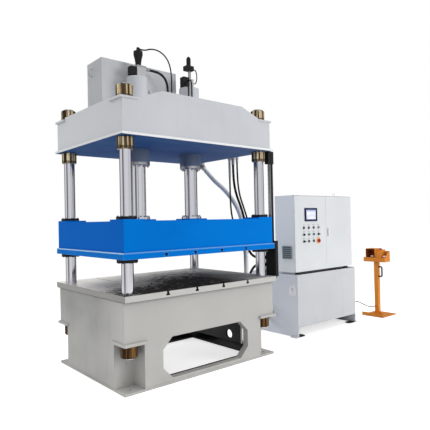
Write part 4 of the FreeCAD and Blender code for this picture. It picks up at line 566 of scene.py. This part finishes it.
def screen_glass():
    """The operator screen: a pale lilac page with plain panes, a navy frame round it."""
    glass = Finish("screen_glass", (0.010, 0.013, 0.055), Coat_Weight=0.05, Coat_Roughness=0.1,
                   Specular_IOR_Level=0.15)
    low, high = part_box("hmi_panel")
    wide, tall = high.x - low.x, high.z - low.z
    u, v = (glass.x - low.x) / wide, (glass.z - low.z) / tall

    def pane(left, right, bottom, top):
        return (u > left) * (u < right) * (v > bottom) * (v < top)

    page = (0.60, 0.60, 0.78)
    for *sides, colour in PANES:
        page = glass.mix(pane(*sides), page, colour)
    lit = pane(0.12, 0.88, 0.14, 0.86)
    smear = glass.noise(18, 5)
    glass.tint(lit, page)
    glass.set(Roughness=0.16 + 0.2 * (smear - 0.4),
              Emission_Color=glass.mix(lit, (0, 0, 0), page), Emission_Strength=0.25,
              Normal=glass.eased_edges(0.002))
    return glass.material


# painted light on the crown's left faces
crown_paint = enamel("crown_paint", LIGHT_GREY, 0.40, grime=0.12, gloss=0.3,
                     left=(0.765, 0.785, 0.810)).material
reservoir_paint = enamel("reservoir_paint", (0.560, 0.575, 0.600), 0.42, grime=0.2,
                         gloss=0.3).material
deck_paint = deck_enamel()
barrel_paint = barrel_enamel()
bed_paint = bed_enamel()
# painted shade on the slide's left faces and undersides
blue_paint = enamel("slide_blue", SLIDE_BLUE, 0.42, wear=0.4, grime=0.08, dark=SLIDE_SHADE,
                    gloss=0.03, left=(0.000, 0.132, 0.590), underside_shade=SLIDE_UNDERSIDE_SHADE).material
flange_paint = platen_enamel()
cabinet_paint = cabinet_enamel()
tank_paint = tank_enamel()
orange_paint = pedestal_enamel()
motor_paint = enamel("motor_enamel", (0.085, 0.105, 0.125), 0.45, 0.1, edge=0.002).material
valve_paint = valve_enamel()
vent_paint = vent_enamel()
scale_steel = scale_strip()
chrome = ground_chrome()
zinc = yellow_zinc()
dark_table = table_steel()
bright_steel = bare_steel("bright_steel", (0.52, 0.52, 0.53)).material
plated = bare_steel("plated_steel", (0.46, 0.47, 0.49), 0.36, 25).material
dark_iron = moulded("blackened_iron", (0.030, 0.030, 0.031), 0.6, 0.3)
handle_coat = moulded("handle_grey", (0.74, 0.75, 0.76), 0.42)
black_plastic = moulded("black_plastic", (0.010, 0.010, 0.011))
wiper_rubber = moulded("wiper_rubber", (0.008, 0.008, 0.009), 0.55)
grip_rubber = moulded("grip_rubber", (0.006, 0.006, 0.007), 0.75, gloss=0.04)
tag_plastic = moulded("legend_grey", (0.42, 0.43, 0.44), 0.45)
ring_yellow = moulded("stop_ring_yellow", (0.86, 0.44, 0.20), 0.4)
red_plastic = moulded("stop_red", (0.36, 0.022, 0.016), 0.28, 0.02)
green_plastic = moulded("push_green", (0.115, 0.200, 0.165), 0.32, 0.02)
blue_plastic = moulded("push_blue", (0.045, 0.200, 0.300), 0.32, 0.02)
lamp_plastic = moulded("lamp_lens", (0.08, 0.10, 0.09), 0.2, 0.02)
palm_plastic = moulded("palm_pink", (0.78, 0.50, 0.50), 0.34, 0.02)
screen = screen_glass()

LOOKS = {
    bed_paint: "base_plate bed_window_plates bed_corner_seats bed_cross_plates",
    dark_table: "bolster_plate",
    chrome: "columns piston_rods",
    zinc: "column_nuts",
    deck_paint: "crown_base_plate",
    barrel_paint: "main_cylinders",
    crown_paint: "crown_gable_plates crown_cross_plates crown_corner_plates crown_roof",
    reservoir_paint: "prefill_tank",
    blue_paint: "slide_frame",
    flange_paint: "slide_platen",
    bright_steel: "cylinder_glands guide_bushes hose_fittings button_bezels key_switch "
                  "switchgear_panel",
    scale_steel: "limit_rail",
    plated: "hose_bracket",
    handle_coat: "door_handle",
    valve_paint: "cylinder_valves",
    black_plastic: "valve_plugs limit_switches mode_switch pressure_switch raise_button",
    grip_rubber: "pedestal_handle",
    wiper_rubber: "guide_covers",
    tank_paint: "oil_tank tank_cover",
    cabinet_paint: "cabinet door_left door_right",
    motor_paint: "pump_motor",
    vent_paint: "vent_cover",
    screen: "hmi_panel",
    lamp_plastic: "indicator_lamps",
    green_plastic: "lower_button",
    blue_plastic: "start_button",
    red_plastic: "emergency_stop pedestal_stop",
    orange_paint: "pedestal_stand pedestal_head",
    palm_plastic: "palm_button_left palm_button_right",
}
for material, names in LOOKS.items():
    for name in names.split():
        mesh = nodes[name].data
        mesh.materials.clear()
        mesh.materials.append(material)


# ------------------------------------------------------------- hoses and cables
CORDS = {                            # diameter, length, stiffness and route, in millimetres
    "return_hose": (54, 2569, "stiff", (
        (954, 534, 2081), (954, 349, 1916), (985, 176, 1789), (1008, -23, 1576), (1012, -110, 1329),
        (1013, -137, 1069), (1014, -134, 813), (1016, -130, 600), (1028, -122, 420),
        (1080, -100, 270), (1194, -48, 188), (1345, 62, 190), (1508, 62, 190))),
    "pilot_hose_rear": (20, 2093, "stiff", (
        (954, 51, 1934), (954, 51, 1720), (956, 42, 1500), (985, 18, 1340), (1028, -30, 1200),
        (1048, -78, 1050), (1050, -84, 850), (1056, -72, 660), (1072, -40, 490), (1125, 30, 370),
        (1215, 110, 320), (1325, 190, 346), (1420, 190, 400), (1528, 190, 400))),
    "pilot_hose_front": (20, 2097, "stiff", (
        (954, -79, 2086), (954, -79, 1900), (962, -100, 1711), (985, -146, 1560),
        (992, -192, 1430), (1012, -196, 1300), (1066, -158, 1180), (1088, -82, 1030),
        (1092, -64, 850), (1098, -50, 680), (1122, -16, 540), (1190, 44, 450), (1284, 112, 394),
        (1400, 130, 400), (1528, 130, 400))),
    "conduit_upper": (28, 1333, "medium", (
        (954, -10, 2070), (954, -10, 1900), (952, -54, 1720), (950, -150, 1540),
        (950, -205, 1360), (950, -214, 1200), (948, -252, 1060), (940, -345, 1000),
        (932, -430, 1009), (932, -524.5, 1009))),
    "conduit_lower": (28, 1380, "medium", (
        (932, -524.5, 930), (932, -430, 930), (943, -335, 900), (950, -255, 806),
        (962, -220, 680), (973, -202, 540), (995, -186, 400), (1060, -172, 280),
        (1175, -138, 216), (1310, -50, 216), (1415, -20, 250), (1528, -20, 250))),
    "valve_cable": (14, 901, "medium", (
        (-284, 0, 3163), (-230, 0, 3163), (-165, 0, 3194), (-85, 0, 3203), (-10, 0, 3182),
        (50, 0, 3132), (84, 0, 3060), (98, 0, 2970), (98.5, 0, 2870), (94, 0, 2770),
        (88, 0, 2680), (88, 0, 2597))),
    "valve_hose": (24, 530, "stiff", (
        (-182, 0, 2972), (-116, 0, 2972), (-50, 0, 2964), (6, 0, 2932), (38, 0, 2876),
        (47, 0, 2810), (46, 0, 2740), (40, 0, 2672), (40, 0, 2605))),
    "pedestal_cable": (12, 570, "medium", (
        (2800, -395, 270), (2860, -395, 270), (2960, -394, 236), (3080, -392, 186),
        (3190, -393, 146), (3288, -395, 135), (3348, -395, 135))),
}
rubber = hose_rubber("hose_rubber", (0.008, 0.008, 0.009), 0.03)
pale_rubber = hose_rubber("pale_hose", (0.76, 0.77, 0.79), 0.05, 0.8)
cable_sheath = hose_rubber("cable_sheath", (0.045, 0.055, 0.055), 0.012, 0.2)
OTHER_COVERS = {"pedestal_cable": cable_sheath, "return_hose": pale_rubber}


def lay_cord(name, diameter, length, stiffness, route):
    """One hose as a smooth curve along its route, from sizes in millimetres."""
    line = bpy.data.curves.new(name, "CURVE")
    line.dimensions = "3D"
    line.bevel_depth = diameter / 2000
    line.bevel_resolution = 5
    line.use_fill_caps = True
    spline = line.splines.new("NURBS")
    spline.points.add(len(route) - 1)
    for point, spot in zip(spline.points, route):
        point.co = (*(part / 1000 for part in spot), 1)
    spline.order_u = 3
    spline.use_endpoint_u = True
    spline.resolution_u = 8
    piece = bpy.data.objects.new(name + "_run", line)
    bpy.context.scene.collection.objects.link(piece)
    line.materials.append(OTHER_COVERS.get(name, rubber))
    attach(piece, "frame")
    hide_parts(name)
    "grey_cable" if name == "pedestal_cable" else "black_rubber"
    tuple(part / 1000 for part in route[0])
    length / 1000
    diameter / 1000


for name, facts in CORDS.items():
    lay_cord(name, *facts)

# ------------------------------------------------------------- small pieces
SQUARE_ON = 0.9                      # from this much of its normal on, a face looks along an axis


def select_only(*pieces):
    """Selects these pieces and nothing else, the first of them active."""
    bpy.ops.object.select_all(action="DESELECT")
    for piece in pieces:
        piece.select_set(True)
    bpy.context.view_layer.objects.active = pieces[0]


def begin(kind, **sizes):
    """A primitive at its place, alone in the selection and open for editing."""
    bpy.ops.object.select_all(action="DESELECT")
    getattr(bpy.ops.mesh, f"primitive_{kind}_add")(**sizes)
    bpy.ops.object.transform_apply(location=True, rotation=True, scale=True)
    bpy.ops.object.mode_set(mode="EDIT")
    bpy.ops.mesh.select_mode(type="FACE")
    return bpy.context.object


def pick(test):
    """Selects only the faces whose middle and facing pass the test."""
    bpy.ops.mesh.select_all(action="DESELECT")
    skin = bmesh.from_edit_mesh(bpy.context.object.data)
    for face in skin.faces:
        if test(face.calc_center_median(), face.normal):
            face.select_set(True)
    bmesh.update_edit_mesh(bpy.context.object.data)


def push(shift):
    """Extrudes the picked faces by a shift."""
    bpy.ops.mesh.extrude_region_move(TRANSFORM_OT_translate={"value": shift})


def push_inside(border, shift):
    """Extrudes the picked faces by a shift, apart from a border round them."""
    bpy.ops.mesh.inset(thickness=border)
    push(shift)


def upwards(spot, facing):
    return facing.z > SQUARE_ON


def forwards(spot, facing):
    return facing.y < -SQUARE_ON


def work(piece, kind, **settings):
    """Gives a piece a modifier and applies it."""
    modifier = piece.modifiers.new("work", kind)
    for name, value in settings.items():
        setattr(modifier, name, value)
    bpy.ops.object.modifier_apply(modifier=modifier.name)


def round_off(piece, width):
    """Closes a piece's editing and rounds its sharp edges."""
    bpy.ops.object.mode_set(mode="OBJECT")
    work(piece, "BEVEL", width=width, segments=2, limit_method="ANGLE")
    bpy.ops.object.shade_smooth_by_angle(angle=0.7)
    return piece


def set_out(first, name, body, material, places):
    """Copies a piece made at the origin to its places, each copy with its own mesh."""
    copies = []
    for place in places:
        select_only(first)
        bpy.ops.object.duplicate(linked=False)
        copies.append(bpy.context.object)
        copies[-1].data.transform(place)
    bpy.data.objects.remove(first)
    select_only(*copies)
    if len(copies) > 1:
        bpy.ops.object.join()
    whole = copies[0]
    whole.name = name
    whole.data.materials.clear()
    whole.data.materials.append(material)
    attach(whole, body)


def socket_screw(radius, high):
    """A cap screw with a sunk socket, its head standing up from the origin."""
    piece = begin("cylinder", vertices=18, radius=radius, depth=high, location=(0, 0, high / 2))
    pick(upwards)
    push_inside(0.45 * radius, (0, 0, -0.55 * high))
    return round_off(piece, 0.08 * radius)


def hex_bolt(radius, high):
    """A hexagon head with a stepped top, on its washer."""
    piece = begin("cylinder", vertices=6, radius=radius, depth=high, location=(0, 0, 0.7 * high))
    pick(upwards)
    push_inside(0.1 * radius, (0, 0, 0.1 * high))
    bpy.ops.mesh.select_all(action="DESELECT")
    bpy.ops.mesh.primitive_cylinder_add(vertices=28, radius=1.5 * radius, depth=0.2 * high,
                                        location=(0, 0, 0.1 * high))
    return round_off(piece, 0.04 * radius)


def about_z(turn, spot):
    """A place turned about the upright axis and moved to a spot."""
    return Matrix.Translation(spot) @ Matrix.Rotation(turn, 4, "Z")


def bolt_circle(middle, height, radius, count, down=False):
    """Places on a circle about an upright axis, heads up or down."""
    flip = Matrix.Rotation(math.pi if down else 0, 4, "X")
    places = []
    for step in range(count):
        turn = 2 * math.pi * (step + 0.5) / count
        east, north = middle[0] + radius * math.cos(turn), middle[1] + radius * math.sin(turn)
        places.append(Matrix.Translation((east, north, height)) @ flip)
    return places


ROD_EAST, COLUMN_EAST, COLUMN_NORTH = 0.328, 0.8, 0.574
RODS = [(east * ROD_EAST, 0) for east in (-1, 1)]
COLUMNS = [(east * COLUMN_EAST, north * COLUMN_NORTH) for east in (-1, 1) for north in (-1, 1)]
GLAND_BOTTOM, GLAND_CIRCLE = 1.982, 0.094
ROD_FLANGE_TOP, ROD_FLANGE_CIRCLE = 1.468, 0.090
COVER_TOP, COVER_BOTTOM, COVER_CIRCLE = 1.470, 1.082, 0.072
BRACKET_SPOTS = [(0.890, north, 2.176) for north in (-0.110, 0.090, 0.530, 0.612)]
VENT_SPOTS = [(1.533, north, height) for north in (-0.370, -0.242) for height in (0.943, 1.084)]
set_out(socket_screw(0.011, 0.014), "gland_screws", "frame", bright_steel,
        [place for rod in RODS
         for place in bolt_circle(rod, GLAND_BOTTOM, GLAND_CIRCLE, 8, down=True)])
set_out(socket_screw(0.012, 0.014), "rod_flange_screws", "slide", bright_steel,
        [place for rod in RODS
         for place in bolt_circle(rod, ROD_FLANGE_TOP, ROD_FLANGE_CIRCLE, 8)])
set_out(socket_screw(0.0065, 0.008), "guide_cover_screws", "slide", plated,
        [place for column in COLUMNS
         for place in bolt_circle(column, COVER_TOP, COVER_CIRCLE, 6)
         + bolt_circle(column, COVER_BOTTOM, COVER_CIRCLE, 6, down=True)])
set_out(hex_bolt(0.010, 0.009), "bracket_bolts", "frame", plated,
        [about_z(0.3 * step, spot) for step, spot in enumerate(BRACKET_SPOTS)])
set_out(socket_screw(0.0035, 0.0025), "vent_screws", "frame", bright_steel,
        [Matrix.Translation(spot) @ Matrix.Rotation(-math.pi / 2, 4, "Y") for spot in VENT_SPOTS])


def foot_tab():
    """A foot tab with a tapered end, lying on the floor and pointing right from the origin."""
    piece = begin("cube", size=1, location=(0.055, 0, 0.006), scale=(0.110, 0.080, 0.012))
    pick(lambda spot, facing: facing.x > SQUARE_ON)
    push((0.016, 0, 0))
    bpy.ops.transform.resize(value=(1, 0.6, 1))
    return round_off(piece, 0.002)


FEET = [(east, north, turn) for east, turn in ((1.582, 0), (2.762, math.pi))
        for north in (-0.390, 0.282)]
TAB_BOLT, TAB_TOP = 0.060, 0.012
set_out(foot_tab(), "tank_foot_tabs", "frame", dark_iron,
        [about_z(turn, (east, north, 0)) for east, north, turn in FEET])
set_out(hex_bolt(0.011, 0.012), "tank_foot_bolts", "frame", dark_iron,
        [about_z(turn, (east + TAB_BOLT * math.cos(turn), north, TAB_TOP))
         for east, north, turn in FEET])


def weld_run(name, body, material, runs, size=0.006):
    """Rippled weld beads: one short cone, arrayed along each run and joined."""
    pieces = []
    for start, finish in runs:
        line = Vector(finish) - Vector(start)
        count = int(line.length / (1.5 * size))
        piece = begin("cone", vertices=8, radius1=size, radius2=0.8 * size, depth=1.9 * size)
        pick(lambda spot, facing: abs(facing.z) > SQUARE_ON)
        bpy.ops.mesh.inset(thickness=0.3 * size)
        bpy.ops.object.mode_set(mode="OBJECT")
        work(piece, "ARRAY", count=count, use_relative_offset=False, use_constant_offset=True,
             constant_offset_displace=(0, 0, line.length / count))
        bpy.ops.object.shade_smooth_by_angle(angle=0.9)
        turn = line.to_track_quat("Z", "Y").to_matrix().to_4x4()
        piece.data.transform(Matrix.Translation(start) @ turn)
        pieces.append(piece)
    select_only(*pieces)
    bpy.ops.object.join()
    set_out(pieces[0], name, body, material, [Matrix()])


def long_runs(half_east, north, height):
    """A run along the front and one along the back."""
    return [((-half_east, side * north, height), (half_east, side * north, height))
            for side in (-1, 1)]


def cross_runs(east, half_north, height):
    """A run along the left end and one along the right."""
    return [((side * east, -half_north, height), (side * east, half_north, height))
            for side in (-1, 1)]


BED_WELD, CROWN_WELD, SLIDE_WELD = 0.021, 2.1645, 1.1705     # heights
weld_run("bed_weld", "frame", bed_paint,
         long_runs(0.66, 0.651, BED_WELD) + cross_runs(0.886, 0.44, BED_WELD))
weld_run("crown_weld", "frame", crown_paint,
         long_runs(0.86, 0.669, CROWN_WELD) + cross_runs(0.880, 0.64, CROWN_WELD))
weld_run("slide_weld", "slide", blue_paint,
         long_runs(0.88, 0.672, SLIDE_WELD), size=0.005)


def legend_plate():
    """A blank legend plate with a raised rim, facing forwards at the origin."""
    piece = begin("cube", size=1, location=(0, -0.0008, 0), scale=(0.026, 0.0016, 0.011))
    pick(forwards)
    push_inside(0.0012, (0, 0.0005, 0))
    return round_off(piece, 0.0002)


DOOR_FACE, RING_PLACE = -0.434, (1.993, -0.435, 1.143)
CONTROL_COLUMNS, CONTROL_ROWS = (1.708, 1.803, 1.898, 1.993), (1.308, 1.225)
LEGEND_RISE, LOWEST_LEGENDS = 0.034, 1.177
set_out(legend_plate(), "legend_plates", "left_door", tag_plastic,
        [Matrix.Translation((east, DOOR_FACE, height + LEGEND_RISE))
         for east in CONTROL_COLUMNS for height in CONTROL_ROWS]
        + [Matrix.Translation((east, DOOR_FACE, LOWEST_LEGENDS)) for east in CONTROL_COLUMNS[:3]])


def flat_ring(outer, inner, thickness):
    """A thin ring standing upright at the origin, facing forwards."""
    piece = begin("circle", vertices=48, radius=outer, fill_type="NGON",
                  rotation=(math.pi / 2, 0, 0))
    bpy.ops.mesh.select_all(action="SELECT")
    bpy.ops.mesh.inset(thickness=outer - inner)
    pick(lambda spot, facing: spot.length < 0.2 * inner)
    bpy.ops.mesh.delete(type="FACE")
    bpy.ops.object.mode_set(mode="OBJECT")
    work(piece, "SOLIDIFY", thickness=thickness, offset=0)
    return round_off(piece, 0.2 * thickness)


set_out(flat_ring(0.042, 0.0175, 0.0018), "emergency_stop_ring", "left_door",
        ring_yellow, [Matrix.Translation(RING_PLACE)])


def handle_plate():
    """The plate behind the swing handle, dished in the middle."""
    piece = begin("cube", size=1, location=(2.196, -0.43475, 1.243), scale=(0.040, 0.0015, 0.140))
    pick(forwards)
    push_inside(0.004, (0, 0.0007, 0))
    return round_off(piece, 0.0003)


set_out(handle_plate(), "handle_plate", "right_door", handle_coat, [Matrix()])

# ------------------------------------------------------------- studio
SCREENS = (                          # turn about the upright axis, and brightness there
    (0.0, 0.88), (0.06, 0.95), (0.14, 0.85), (0.175, 0.80), (0.195, 0.20), (0.255, 0.20),
    (0.275, 0.90), (0.38, 0.90), (0.42, 0.50), (0.45, 0.13), (0.53, 0.12), (0.55, 0.90),
    (0.575, 0.80), (0.605, 0.10), (0.625, 0.10), (0.65, 0.45), (0.68, 0.10), (0.76, 0.12),
    (0.80, 0.50), (0.83, 0.85), (0.90, 0.80), (0.93, 0.65), (0.96, 0.90))
AMBIENT = 0.78                       # what reaches dull surfaces from all round


def screens(shader, east, north):
    """The studio as polished metal mirrors it: white screens with dark gaps all round."""
    turn = east.sum("ARCTAN2", east, north) / (2 * math.pi) + 0.5
    return shader.ramp(turn, *SCREENS)


bpy.ops.object.select_all(action="DESELECT")
bpy.ops.mesh.primitive_plane_add(size=80, location=(0, 0, -0.002))
floor = bpy.context.object
floor.name = "studio_floor"
ground = Finish("studio_floor", (0, 0, 0), Roughness=0.8, Emission_Color=(1, 1, 1))
floor.data.materials.append(ground.material)
reach = ground.node("ShaderNodeVectorMath", {"operation": "LENGTH"}, [ground.place], out="Value")
near = ground.ramp(reach * 0.1, (0.40, 1), (0.75, 0))
ground.tint(near, (0.80, 0.80, 0.80))
seen = ground.rays("Camera") * (1.0 - 0.36 * near)
mirrored = ground.rays("Glossy") * screens(ground, ground.x, ground.y) * (1.0 - 0.5 * near)
ground.set(Emission_Strength=seen + mirrored)

world = bpy.data.worlds.new("studio")
bpy.context.scene.world = world
sky = Shader(world)
east, north = sky.parts(sky.node("ShaderNodeTexCoord", out="Generated"))[:2]
plain = sky.rays("Camera") | sky.rays("Transmission")
glossy = sky.rays("Glossy")
level = plain + (1 - plain) * (glossy * screens(sky, east, north) + (1 - glossy) * AMBIENT)
backdrop = sky.tree.nodes["Background"].inputs
sky.plug(backdrop["Strength"], level)
sky.plug(backdrop["Color"], (1, 1, 1))


def soft_light(name, spot, aim, size, power):
    """A large rectangular lamp turned towards a point."""
    lamp = bpy.data.lights.new(name, "AREA")
    lamp.shape, lamp.size, lamp.size_y, lamp.energy = "RECTANGLE", size[0], size[1], power
    holder = bpy.data.objects.new(name, lamp)
    bpy.context.scene.collection.objects.link(holder)
    holder.location = spot
    holder.visible_camera = holder.visible_glossy = False
    holder.rotation_euler = (Vector(aim) - Vector(spot)).to_track_quat("-Z", "Y").to_euler()


soft_light("key", (5.0, -8.0, 3.2), (0.6, 0, 1.2), (4, 4), 320)
soft_light("back", (-2.5, 7.5, 3.5), (1.5, 0, 1.0), (3, 3), 230)
soft_light("top", (0.5, -1.0, 7.5), (0.5, 0, 1), (6, 5), 70)
bpy.context.scene.view_settings.view_transform = "Standard"
